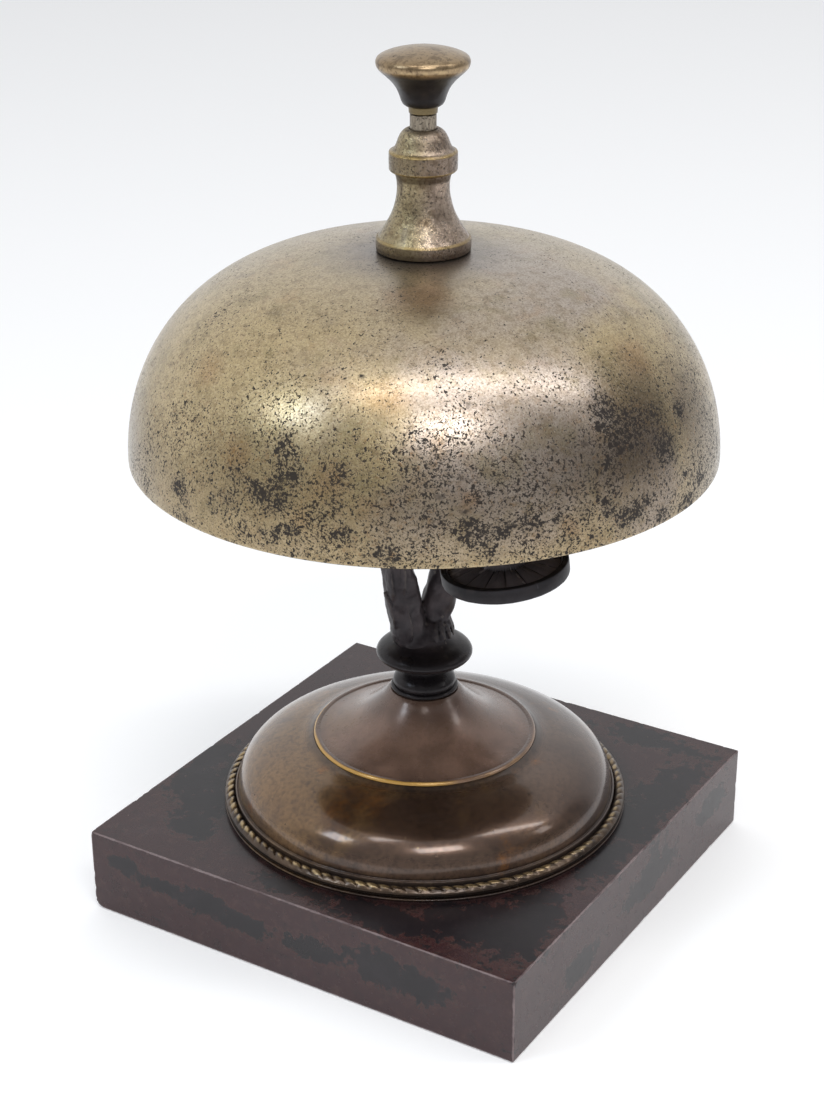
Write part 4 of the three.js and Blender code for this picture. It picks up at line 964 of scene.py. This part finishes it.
def make_fork():
    parts = []
    top = 112.7 - T
    parts.append(limb("l", [(-2.2, 35.2, 3.6, 3.7), (-3.1, 38, 3.7, 3.8), (-4.4, 45, 3.5, 3.5), (-5.3, 50, 3.35, 3.35), (-5.9, 56, 3.2, 3.3), (-6.6, 62, 3.15, 3.2), (-8.3, 74, 3.0, 3.05), (-10.0, 86, 3.0, 3.05), (-10.5, 92, 3.1, 3.1), (-10.5, top, 3.1, 3.1)], rough=0.55, groove=0.05))
    parts.append(limb("r", [(1.3, 36.2, 3.0, 3.2), (1.8, 38.2, 3.0, 3.2), (2.3, 40.4, 2.95, 3.1), (3.1, 44.2, 3.6, 3.4), (4.3, 48, 3.55, 3.35), (5.5, 52, 3.35, 3.3), (7.8, 62, 3.1, 3.1), (9.4, 74, 3.0, 3.05), (10.3, 86, 3.0, 3.05), (10.5, 92, 3.1, 3.1), (10.5, top, 3.1, 3.1)], rough=0.25, groove=0.10, shift=4))
    # the root: a mound both limbs grow from, with short claws running down over it
    parts.append(limb("m", [(-0.3, 34.6, 6.2, 5.6), (0.2, 36.0, 5.9, 5.2), (0.9, 37.6, 5.2, 4.5), (1.5, 39.2, 4.2, 3.8), (2.0, 40.6, 3.0, 3.0), (2.1, 41.2, 2.2, 2.3)], steps=60, rough=0.3, groove=0.05, shift=7))
    for i, a in enumerate(np.linspace(-165, 95, 14)):
        t0 = math.radians(a + 90); t1 = t0 + math.radians(16)                     # 90 is +Y, the thin branch's side
        def at(t, z):
            yc = float(np.interp(z, [34.6, 36.0, 37.6, 39.2, 40.6], [-0.3, 0.2, 0.9, 1.5, 2.0]))
            ry_ = float(np.interp(z, [34.6, 36.0, 37.6, 39.2, 40.6], [6.2, 5.9, 5.2, 4.2, 3.1]))
            rx_ = float(np.interp(z, [34.6, 36.0, 37.6, 39.2, 40.6], [5.6, 5.2, 4.5, 3.8, 3.1]))
            return (math.cos(t) * (rx_ + 0.12), yc + math.sin(t) * (ry_ + 0.12), z)
        top_z = 40.7 + 0.4 * math.sin(i * 2.1)
        parts.append(lobe("f%d" % i, [at(t0, top_z), at(t0 * 0.6 + t1 * 0.4, 39.5), at(t0 * 0.3 + t1 * 0.7, 38.3), at(t1, 37.0 + 0.3 * math.cos(i * 1.7))], [0.45, 0.62, 0.55, 0.15], 0.40))
    # sheath leaves that hug the thick trunk, a few tips lifting off it
    def on(t, z, off):
        yc = float(np.interp(z, [35.2, 38, 45, 50, 56, 62], [-2.2, -3.1, -4.4, -5.3, -5.9, -6.6]))
        rr_ = float(np.interp(z, [35.2, 38, 45, 50, 56, 62], [3.7, 3.75, 3.5, 3.35, 3.25, 3.15]))
        return (math.cos(t) * (rr_ + off), yc + math.sin(t) * (rr_ + off), z)
    for i, (a, z0, z1, wd, drift, lift) in enumerate([(-92, 38.5, 48.4, 1.9, 10, 0.55), (-128, 43.5, 51.8, 1.7, -12, 0.50), (-35, 37.5, 45.4, 1.7, 22, 0.10), (168, 38.6, 46.6, 1.6, -14, 0.15),
                                                      (-70, 46.0, 56.4, 1.5, 18, 0.10), (-160, 47.0, 58.0, 1.5, -16, 0.30), (-20, 48.0, 57.0, 1.3, 20, 0.10)]):
        zz = np.linspace(z0, z1, 5)
        tt = [math.radians(a + drift * q) for q in np.linspace(0, 1, 5)]
        parts.append(lobe("s%d" % i, [on(tt[0], zz[0], -0.45), on(tt[1], zz[1], -0.22), on(tt[2], zz[2], -0.12), on(tt[3], zz[3], -0.06 + lift * 0.2), on(tt[4], zz[4], lift)], [wd * 0.5, wd, wd, wd * 0.75, 0.3], 0.36, 16))
    main = parts[0]
    bm = bmesh.new()
    for p in parts:
        bm.from_mesh(p.data)
    mesh = bpy.data.meshes.new("fork")
    bm.to_mesh(mesh); bm.free()
    for p in parts:
        bpy.data.objects.remove(p)
    o = link("fork_casting", mesh)
    m = o.modifiers.new("v", "REMESH"); m.mode = "VOXEL"; m.voxel_size = 0.00024; m.use_smooth_shade = True
    evaluated(o, 180)
    m = o.modifiers.new("s", "SMOOTH"); m.factor = 0.5; m.iterations = 3
    evaluated(o, 180)
    # cast surface: small lumps
    co = np.array([v.co for v in o.data.vertices])
    nn = np.array([v.normal for v in o.data.vertices])
    d = np.array([0.10 * fbm(c[0] * 800, c[1] * 800, c[2] * 500, 3) + 0.16 * noise.noise(Vector((c[0] * 330 + c[2] * 160, c[1] * 330 + c[2] * 120, c[2] * 170 + 5))) for c in co])
    low = (co[:, 2] / MM - T) < 37.0
    d[low] *= 0.3
    co = co + nn * (d * MM)[:, None]
    o.data.vertices.foreach_set("co", co.astype(np.float32).ravel())
    # flat tops with screw holes, and the rod's bore
    cut = None
    tool = lathe("t", [(0, top), (30, top), (30, top + 8), (0, top + 8)], 64, base=T)
    boolean(o, tool, "DIFFERENCE", 60)
    turned = lathe("stem_turned", stem, 224, soft(0.03, 0.3, 8), base=T)
    boolean(o, turned, "UNION", 60)
    for s in (-1, 1):
        boolean(o, cylinder("t", 1.6, (0, s * 10.5, 112.7 - 8), (0, s * 10.5, 115), 32), "DIFFERENCE", 60)
    boolean(o, cylinder("t", 2.3, (0, 0, 40), (0, 0, T + 39.7), 48), "DIFFERENCE", 60)
    o.data.transform(MECH)
    finish_mesh(o.data, 60)
    return piece(o, "frame", "dark_casting", M_CAST, "stem_fork")


make_fork()


# --------------------------------------------------------------- mechanism
def hexnut(name, af, hole, z0, z1, matrix=None, turn=0.0):
    r = af / math.sqrt(3)
    c = (r - af / 2) * 0.55
    bm = bmesh.new()
    bmesh.ops.create_cone(bm, cap_ends=True, segments=6, radius1=r, radius2=r, depth=z1 - z0)
    mesh = bpy.data.meshes.new(name)
    bmesh.ops.rotate(bm, verts=bm.verts, cent=(0, 0, 0), matrix=Matrix.Rotation(math.radians(turn + 30), 3, "Z"))
    bmesh.ops.translate(bm, verts=bm.verts, vec=(0, 0, (z0 + z1) / 2))
    bm.to_mesh(mesh); bm.free()
    mesh.transform(Matrix.Scale(MM, 4))
    o = link(name, mesh)
    cap = lathe("t", profile((0, z0), (af / 2 * 0.94, z0), (r + 0.02, z0 + c), (r + 0.02, z1 - c), (af / 2 * 0.94, z1), (0, z1)), 96)
    boolean(o, cap, "INTERSECT")
    bore = lathe("t", [(0, z0 - 1), (hole + 1.3, z0 - 1), (hole, z0 + 0.35), (hole, z1 - 0.35), (hole + 1.3, z1 + 1), (0, z1 + 1)], 64)
    boolean(o, bore, "DIFFERENCE")
    m = o.modifiers.new("e", "BEVEL"); m.width = 0.00012; m.segments = 2; m.limit_method = "ANGLE"; m.angle_limit = math.radians(40)
    evaluated(o, 40)
    if matrix is not None:
        o.data.transform(matrix)
    return o


def threaded(name, r, bore, z0, z1, pitch, depth, plain=(), seg=96, tip=0.4, matrix=None):
    """A threaded rod (bore 0) or tube: closed profile with a fine V thread except in the plain spans."""
    pts = [(bore, z0), (r - tip, z0), (r, z0 + tip)]
    z = z0 + tip + 0.1
    while z + pitch < z1 - tip:
        if not any(a <= z + pitch / 2 <= b for a, b in plain):
            pts += [(r, z), (r - depth, z + pitch * 0.5)]
        z += pitch
    pts += [(r, z1 - tip), (r - tip, z1), (bore, z1)]
    return lathe(name, pts, seg, angle=80, matrix=matrix)


def ring(name, rout, rin, z0, z1, f=0.12, seg=96, matrix=None, wob=None):
    return lathe(name, profile((rin, z0, f), (rout, z0, f), (rout, z1, f), (rin, z1, f), arc=3), seg, wob, matrix=matrix)


def keep_cad(node, material, width=0.00022, angle=33):
    """A CAD node whose shape is right: soft edges and a worked material."""
    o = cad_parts[node]
    o.data.polygons.foreach_set("use_smooth", [True] * len(o.data.polygons))
    o.data.set_sharp_from_angle(angle=math.radians(angle))
    o.data.materials.clear()
    o.data.materials.append(material)
    m = o.modifiers.new("edges", "BEVEL")
    m.width = width; m.segments = 2; m.limit_method = "ANGLE"; m.angle_limit = math.radians(angle); m.harden_normals = False
    return o


def ylathe(name, prof, x, z, seg=64, matrix=None):
    """A profile (r, y) turned about a line along Y through (x, z) in the mechanism frame."""
    o = lathe(name, prof, seg)
    o.data.transform(MECH @ Matrix.Translation(Vector((x, 0, z)) * MM) @ Matrix.Rotation(math.radians(-90), 4, "X"))
    return o


piece(threaded("tie_rod", 2.0, 0, 1.4, T + 39.3, 0.7, 0.22), "frame", "steel", M_STEEL, "tie_rod")
piece(ring("base_washer", 7.5, 2.3, 5.7, 6.7), "frame", "steel", M_STEEL, "base_washer")
piece(hexnut("base_nut", 7, 2.12, 2.3, 5.4, turn=12), "frame", "steel", M_STEEL, "base_nut")
keep_cad("mechanism_bracket", M_DARKSTEEL, 0.00035)
for side_, s in (("left", -1), ("right", 1)):
    sc = lathe("bracket_screw_" + side_, profile((0, 106.2), (1.4, 106.2, 0.3), (1.4, 116.2), (2.7, 116.2, 0.1), (2.7, 117.5, 0.4), (2.0, 118.1, 0.4), (0, 118.15)), 64)
    slot_tool = link("t", bpy.data.meshes.new("t"))
    bm = bmesh.new(); bmesh.ops.create_cube(bm, size=1.0)
    bmesh.ops.scale(bm, vec=(0.7 * MM, 7 * MM, 1.4 * MM), verts=bm.verts)
    bmesh.ops.rotate(bm, verts=bm.verts, cent=(0, 0, 0), matrix=Matrix.Rotation(math.radians(35 * s), 3, "Z"))
    bmesh.ops.translate(bm, verts=bm.verts, vec=(0, 0, 118.1 * MM))
    bm.to_mesh(slot_tool.data); bm.free()
    boolean(sc, slot_tool, "DIFFERENCE")
    sc.data.transform(MECH @ Matrix.Translation((0, s * 10.5 * MM, 0)))
    piece(sc, "frame", "steel", M_STEEL, "bracket_screw_" + side_)
piece(threaded("guide_tube", 4.0, 3.1, 110.4, 156.0, 0.8, 0.25, [(134.2, 137.2)]), "frame", "steel", M_STEEL, "guide_tube")
piece(hexnut("lock_nut_lower", 11.2, 4.12, 110.7, 112.8, MECH, 8), "frame", "steel", M_STEEL, "lock_nut_lower")
piece(hexnut("lock_nut_upper", 11.2, 4.12, 116.2, 119.0, MECH, -14), "frame", "steel", M_STEEL, "lock_nut_upper")
piece(hexnut("bell_seat_nut", 16, 4.12, 128.6, 132.2, MECH, 3), "frame", "steel", M_STEEL, "bell_seat_nut")
piece(ring("spring_seat", 2.9, 1.6, 110.6, 113.6, 0.15, 64), "frame", "brass", M_BRASS, "spring_seat")
piece(ring("lower_washer", 10, 4.3, 132.4, 134.0, 0.3, 128, wob=soft(0.12, 0.5)), "frame", "fibre", M_FIBRE, "lower_washer")
piece(ring("upper_washer", 7.3, 4.3, T + 119.05, T + 119.8, 0.15, 96), "frame", "fibre", M_FIBRE, "upper_washer")

# -------------------------------------------------------------------- bell
def make_bell():
    R0, Z0, H, A, B, WALL = 57.93, 78.9, 39.96, 3.05, 2.02, 2.4
    outer, inner = [], []
    n = 130
    for i in range(n + 1):
        t = (i / n) ** 1.25 * (math.pi / 2 - 0.004) + 0.002
        r = R0 * math.cos(t) ** (2 / A); z = Z0 + H * math.sin(t) ** (2 / B)
        e = 1e-4
        r2 = R0 * math.cos(min(t + e, math.pi / 2)) ** (2 / A); z2 = Z0 + H * math.sin(min(t + e, math.pi / 2)) ** (2 / B)
        d = math.hypot(r2 - r, z2 - z) or 1
        nr, nz = -(z2 - z) / d, (r2 - r) / d
        if r > 4.4 and z > 79.3:
            outer.append((r, z))
        ri, zi = r + nr * WALL, z + nz * WALL
        if ri > 4.6 and zi > 83.6:
            inner.append((ri, zi))
    prof = [(57.55, 78.84), (57.80, 78.90), (57.90, 79.04)] + outer + [(4.5, Z0 + H - 0.02), (4.3, Z0 + H - 0.12)]
    prof += [(4.3, Z0 + H - 2.3), (4.5, Z0 + H - 2.4)] + inner[::-1]
    prof += catmull([(55.25, 82.9), (55.05, 81.6), (54.98, 80.4), (55.05, 79.4), (55.3, 78.95), (55.7, 78.83)], 4)

    def wob(x, y, z, r):
        return min(0.0, 0.03 * noise.noise(Vector((x * 0.045, y * 0.045, z * 0.05))) + 0.012 * noise.noise(Vector((x * 0.13, y * 0.13, z * 0.13 + 4))) - 0.03)
    o = lathe("bell_dome", prof, 320, wob, base=T, angle=50)
    o.data.materials.append(M_BELL)
    o.data.materials.append(M_INSIDE)
    mi = []
    for p in o.data.polygons:
        c, nrm = p.center, p.normal
        r = math.hypot(c.x, c.y) / MM
        inside = (nrm.x * c.x + nrm.y * c.y < -1e-6 * r) or (nrm.z < -0.3 and r < 56) or r < 4.4
        mi.append(1 if inside else 0)
    o.data.polygons.foreach_set("material_index", mi)
    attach(o, "frame"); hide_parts("bell_dome")
    return o


make_bell()

sleeve = profile((7.6, 119.0, 0.1), (9.0, 119.0, 0.12), (9.08, 120.1), (9.05, 121.15, 0.16), (8.84, 121.45, 0.12))
sleeve += profile([(8.6, 121.6), (8.1, 122.3), (7.05, 124.0), (6.24, 125.5), (5.66, 127.0), (5.2, 128.8), (5.0, 130.3), (5.0, 131.7), (5.16, 132.9), (5.4, 133.6)])
sleeve += profile((5.56, 133.92, 0.1), (6.18, 134.08, 0.08), (6.44, 134.36, 0.1), (6.5, 136.1), (6.46, 137.62, 0.1), (6.28, 137.84, 0.08))
sleeve += profile([(6.05, 137.92), (5.62, 138.22), (5.22, 138.8), (4.94, 139.5), (4.68, 140.2), (4.28, 140.98), (3.78, 141.55), (3.2, 141.92), (2.85, 142.0)])
sleeve += profile((2.62, 141.9), (2.62, 138.6), (4.3, 138.6), (4.3, 120.1), (7.6, 120.1))
piece(lathe("sleeve_finial", sleeve, 192, soft(0.03, 0.35), base=T), "frame", "sleeve_metal", M_SLEEVE, "sleeve_finial")

# ----------------------------------------------------------------- plunger
KZ = 144.9
piece(lathe("plunger_rod", profile((0, 107.6), (0.8, 107.75), (1.3, 108.4), (1.5, 109.1), (1.5, 128.0, 0.1), (2.5, 128.0, 0.2), (2.5, T + KZ - 0.2, 0.1), (1.5, T + KZ - 0.2), (1.5, T + KZ + 5.6, 0.3), (0, T + KZ + 5.6)), 96),
      "plunger", "steel", M_ROD, "plunger_rod")
piece(ring("spring_washer", 2.85, 1.7, 127.0, 127.8, 0.1, 64), "plunger", "brass", M_BRASS, "spring_washer")
piece(ring("stop_clip", 3.6, 1.65, 109.3, 110.1, 0.12, 64), "plunger", "steel", M_STEEL, "stop_clip")
knob = profile((1.7, KZ), (2.68, KZ, 0.15), (2.72, 145.6), (2.78, 146.15, 0.1), (3.4, 146.35, 0.15))
knob += profile([(3.75, 146.6), (4.05, 147.1), (4.5, 148.4), (5.1, 149.7), (6.05, 150.95), (7.1, 151.95), (8.0, 152.75), (8.55, 153.4), (8.75, 154.05), (8.72, 154.6), (8.4, 155.15), (7.6, 155.65), (6.1, 156.2), (4.0, 156.7), (2.0, 156.98), (0.4, 157.08)])
knob += [(0, 157.09), (0, KZ + 6.0), (1.7, KZ + 6.0)]
piece(lathe("push_knob", knob, 160, soft(0.03, 0.3, 3), base=T), "plunger", "knob_bronze", M_KNOB, "push_knob")


def make_spring():
    r, wire, z0, z1, turns, per, sec = 2.25, 0.3, 114.05, 126.55, 6, 28, 10
    n = turns * per
    co, faces = [], []
    for i in range(n + 1):
        a = 2 * math.pi * turns * i / n
        c = Vector((r * math.cos(a), r * math.sin(a), z0 + (z1 - z0) * i / n))
        rad = Vector((math.cos(a), math.sin(a), 0))
        for j in range(sec):
            t = 2 * math.pi * j / sec
            co.append(c + rad * (wire * math.cos(t)) + Vector((0, 0, wire * math.sin(t))))
    for i in range(n):
        for j in range(sec):
            j2 = (j + 1) % sec
            faces.append((i * sec + j, i * sec + j2, (i + 1) * sec + j2, (i + 1) * sec + j))
    faces.append(tuple(range(sec))[::-1]); faces.append(tuple(n * sec + j for j in range(sec)))
    mesh = bpy.data.meshes.new("spring")
    mesh.from_pydata([tuple(c * MM) for c in co], [], faces)
    outward(mesh)
    o = link("return_spring", finish_mesh(mesh, 60))
    piece(o, "frame", "spring_steel", M_SPRING, "return_spring")
    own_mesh(o)


make_spring()

# ------------------------------------------------------------------ hammer
keep_cad("hammer_lever", M_DARKSTEEL, 0.0003)


def make_striker():
    """A cast disc: plain rim band, and inside it a raised rosette of petals round a boss."""
    seg, R, H = 360, 11.9, 3.0
    rs = [2.0, 3.0, 3.9, 4.1]
    def top(r, a):
        if r >= 10.75:
            return 0.0
        if r >= 10.35:
            return -0.55 * (10.75 - r) / 0.4
        petals, inner_p = 16, 8
        u = (r - 4.6) / (10.35 - 4.6)
        if r <= 4.1:
            return 2.8 - 0.25 * max(0.0, r - 3.6) / 0.5
        if r <= 4.7:
            return 2.5 - (r - 4.1) / 0.6 * 1.5
        ph = abs(math.sin(a * petals / 2))
        tip = math.sqrt(max(0.0, 1 - (max(0.0, u - 0.62) / 0.38) ** 2)) if u > 0.62 else 1.0
        lift = -0.45 + 0.95 * (1 - u) * 0.9 + 0.42 * tip * (ph ** 0.55) * (0.45 + 0.55 * math.sin(min(1.0, u * 1.15) * math.pi))
        groove = -0.14 * math.exp(-((math.sin(a * petals / 2)) ** 2) * 18)
        vein = -0.10 * math.exp(-((math.cos(a * petals / 2)) ** 2) * 60) * (1 - u)
        return lift + groove + vein
    radial = [2.0, 2.6, 3.2, 3.6, 3.85, 4.1, 4.25, 4.45, 4.7] + list(np.linspace(4.95, 10.3, 26)) + [10.4, 10.5, 10.62, 10.75, 11.0, 11.5, 11.72]
    rim = [(11.84, -0.06), (11.9, -0.22), (11.92, -1.2), (11.88, -2.45), (11.78, -2.72), (11.5, -2.9), (11.0, -3.0), (9.0, -3.12), (6.0, -3.2), (3.4, -3.2), (2.0, -3.2)]
    co, rings = [], []
    ang = [2 * math.pi * i / seg for i in range(seg)]
    for r in radial:
        rings.append(len(co)); co += [(r * math.cos(a), r * math.sin(a), top(r, a)) for a in ang]
    for r, z in rim:
        rings.append(len(co)); co += [(r * math.cos(a), r * math.sin(a), z) for a in ang]
    faces = []
    for i in range(len(rings)):
        a0, b0 = rings[i], rings[(i + 1) % len(rings)]
        for j in range(seg):
            j2 = (j + 1) % seg
            faces.append((a0 + j, a0 + j2, b0 + j2, b0 + j))
    co = [(x * (1 + 0.004 * noise.noise(Vector((x * 0.3, y * 0.3, z)))), y, z + 0.04 * noise.noise(Vector((x * 0.6, y * 0.6, 3)))) for x, y, z in co]
    mesh = bpy.data.meshes.new("striker")
    mesh.from_pydata([tuple(c * MM for c in p) for p in co], [], faces)
    outward(mesh)
    mesh.transform(STRIKER)
    mesh.materials.append(M_HEAD)
    mesh.materials.append(M_RELIEF_PAINTED_LIGHT)
    back = STRIKER.inverted()
    # the relief faces take the lighter copy of the casting: painted light where the bell shades them
    for poly in mesh.polygons:
        p = back @ poly.center / MM
        if math.hypot(p.x, p.y) < 10.8 and p.z > -0.7:
            poly.material_index = 1
    o = link("striker_disc", finish_mesh(mesh, 50))
    return piece(o, "hammer", "dark_casting", M_HEAD, "hammer_head")


make_striker()
piece(lathe("striker_stud", profile((0, -4.9), (1.6, -4.8), (2.9, -4.25, 0.3), (3.2, -3.5, 0.15), (1.7, -3.5), (1.7, 9.4, 0.4), (0, 9.4)), 64, matrix=STRIKER), "hammer", "steel", M_STEEL, "striker_stud")
piece(hexnut("striker_nut", 5.6, 1.82, 6.5, 8.7, STRIKER, 20), "hammer", "steel", M_STEEL, "striker_nut")
pin = profile((0, -9.4), (2.2, -9.4, 0.4), (2.4, -9.0), (2.4, -8.0, 0.15), (1.5, -8.0), (1.5, 9.4, 0.3), (0, 9.4))
piece(ylathe("pivot_pin", pin, 11, 106), "frame", "steel", M_STEEL, "pivot_pin")
piece(ylathe("pivot_clip", profile((1.62, 8.0), (2.7, 8.0, 0.15), (2.7, 8.8, 0.15), (1.62, 8.8)), 11, 106), "frame", "steel", M_STEEL, "pivot_clip")

# ------------------------------------------------------- floor and lighting
scene.view_settings.view_transform = "Standard"
scene.view_settings.look = "None"
scene.view_settings.exposure = 0.0
scene.view_settings.gamma = 1.0

floor_mesh = bpy.data.meshes.new("floor")
floor_mesh.from_pydata([(-8, -8, -0.0002), (8, -8, -0.0002), (8, 8, -0.0002), (-8, 8, -0.0002)], [], [(0, 1, 2, 3)])
floor = link("floor", floor_mesh)
fm = Mat("floor_white")
fcol = fm.mix(fm.noise(4, 3), (0.925, 0.925, 0.93), (0.935, 0.935, 0.94))
# painted light: the floor glows a little, more towards the camera, so that it stays evenly white
fm.b.inputs["Emission Color"].default_value = (1, 1, 1, 1)
fx, fy, fz = fm.axes()
fm.put(fm.b.inputs["Emission Strength"], fm.step(fm.add(fm.mul(fx, 0.5238), fm.mul(fy, -0.8519)), -0.30, 0.10, 0.035, 0.175))
floor_mesh.materials.append(fm.done(fcol, 0.8, 0.0))

HEAD = math.atan2(-0.338101, 0.207877)       # the side the camera stands on, seen from the bell
toward = (math.cos(HEAD), math.sin(HEAD), 0)
aside = (-math.sin(HEAD), math.cos(HEAD), 0)

# a white room that gets darker on the near side and low down on the near right
world = bpy.data.worlds.new("World")
scene.world = world
world.use_nodes = True
wt = world.node_tree
wt.nodes.clear()


def wmath(op, a, b=0.0, c=0.0):
    n = wt.nodes.new("ShaderNodeMath"); n.operation = op
    for i, v in enumerate((a, b, c)):
        if isinstance(v, bpy.types.NodeSocket):
            wt.links.new(v, n.inputs[i])
        else:
            n.inputs[i].default_value = v
    return n.outputs[0]


def wstep(x, lo, hi, a=0.0, b=1.0):
    n = wt.nodes.new("ShaderNodeMapRange"); n.interpolation_type = "SMOOTHSTEP"; n.clamp = True
    wt.links.new(x, n.inputs["Value"])
    n.inputs["From Min"].default_value = lo; n.inputs["From Max"].default_value = hi
    for k, v in (("To Min", a), ("To Max", b)):
        if isinstance(v, bpy.types.NodeSocket):
            wt.links.new(v, n.inputs[k])
        else:
            n.inputs[k].default_value = v
    return n.outputs[0]


wdir = wt.nodes.new("ShaderNodeTexCoord").outputs["Generated"]
wsep = wt.nodes.new("ShaderNodeSeparateXYZ")
wt.links.new(wdir, wsep.inputs[0])
wx, wy, wz = wsep.outputs
flat = wmath("MAXIMUM", wmath("SQRT", wmath("ADD", wmath("MULTIPLY", wx, wx), wmath("MULTIPLY", wy, wy))), 0.001)
near = wmath("DIVIDE", wmath("ADD", wmath("MULTIPLY", wx, toward[0]), wmath("MULTIPLY", wy, toward[1])), flat)
onright = wmath("DIVIDE", wmath("ADD", wmath("MULTIPLY", wx, aside[0]), wmath("MULTIPLY", wy, aside[1])), flat)
level = wstep(near, -0.25, 0.40, 0.95, 0.42)
gloom = wmath("MULTIPLY", wstep(onright, 0.72, 0.97), wmath("MULTIPLY", wstep(wz, 0.66, 0.45), wstep(near, -0.62, -0.30)))
level = wmath("MULTIPLY", level, wmath("SUBTRACT", 1.0, wmath("MULTIPLY", gloom, 0.62)))
level = wmath("MULTIPLY", level, wstep(onright, 0.25, 0.95, 1.0, 0.82))
level = wstep(wz, 0.80, 0.97, level, 0.80)
bg = wt.nodes.new("ShaderNodeBackground")
bg.inputs[0].default_value = (0.975, 0.985, 1.0, 1)
wt.links.new(level, bg.inputs[1])
# seen directly, past the end of the floor, the room is a plain pale wall
wall = wt.nodes.new("ShaderNodeBackground")
wall.inputs[0].default_value = (0.90, 0.905, 0.92, 1)
wall.inputs[1].default_value = 1.0
seen = wt.nodes.new("ShaderNodeMixShader")
wt.links.new(wt.nodes.new("ShaderNodeLightPath").outputs["Is Camera Ray"], seen.inputs[0])
wt.links.new(bg.outputs[0], seen.inputs[1])
wt.links.new(wall.outputs[0], seen.inputs[2])
wo = wt.nodes.new("ShaderNodeOutputWorld")
wt.links.new(seen.outputs[0], wo.inputs[0])


def softbox(name, azimuth, elevation, distance, width, height, radiance, tilt=0.0, color=(1, 1, 1), target=(0, 0, 0.11), slide=0.0):
    """A rectangular light, width level and height rising. The azimuth counts from the camera's side, positive to its right."""
    a = HEAD + math.radians(azimuth); e = math.radians(elevation)
    out = Vector((math.cos(a) * math.cos(e), math.sin(a) * math.cos(e), math.sin(e)))
    level_ = Vector((-math.sin(a), math.cos(a), 0))
    level_ = Matrix.Rotation(math.radians(tilt), 3, out) @ level_
    rise = out.cross(level_)
    p = Vector(target) + out * distance + level_ * slide
    l = bpy.data.lights.new(name, "AREA")
    l.shape = "RECTANGLE"; l.size = width; l.size_y = height
    l.energy = radiance * math.pi * width * height
    l.color = color
    o = bpy.data.objects.new(name, l)
    scene.collection.objects.link(o)
    o.matrix_world = Matrix((
        (level_.x, rise.x, out.x, p.x), (level_.y, rise.y, out.y, p.y), (level_.z, rise.z, out.z, p.z), (0, 0, 0, 1)))
    return o


softbox("key_front", 10, 49, 1.0, 0.40, 0.21, 9.2, 8)
softbox("key_left", -65, 42, 1.0, 0.21, 0.24, 8.2, color=(0.82, 0.96, 1.10))
softbox("strip_top", 12, 76, 1.25, 2.1, 0.16, 7.0, slide=0.42)
softbox("fill_right", 80, 27, 1.0, 0.14, 0.18, 3.3)
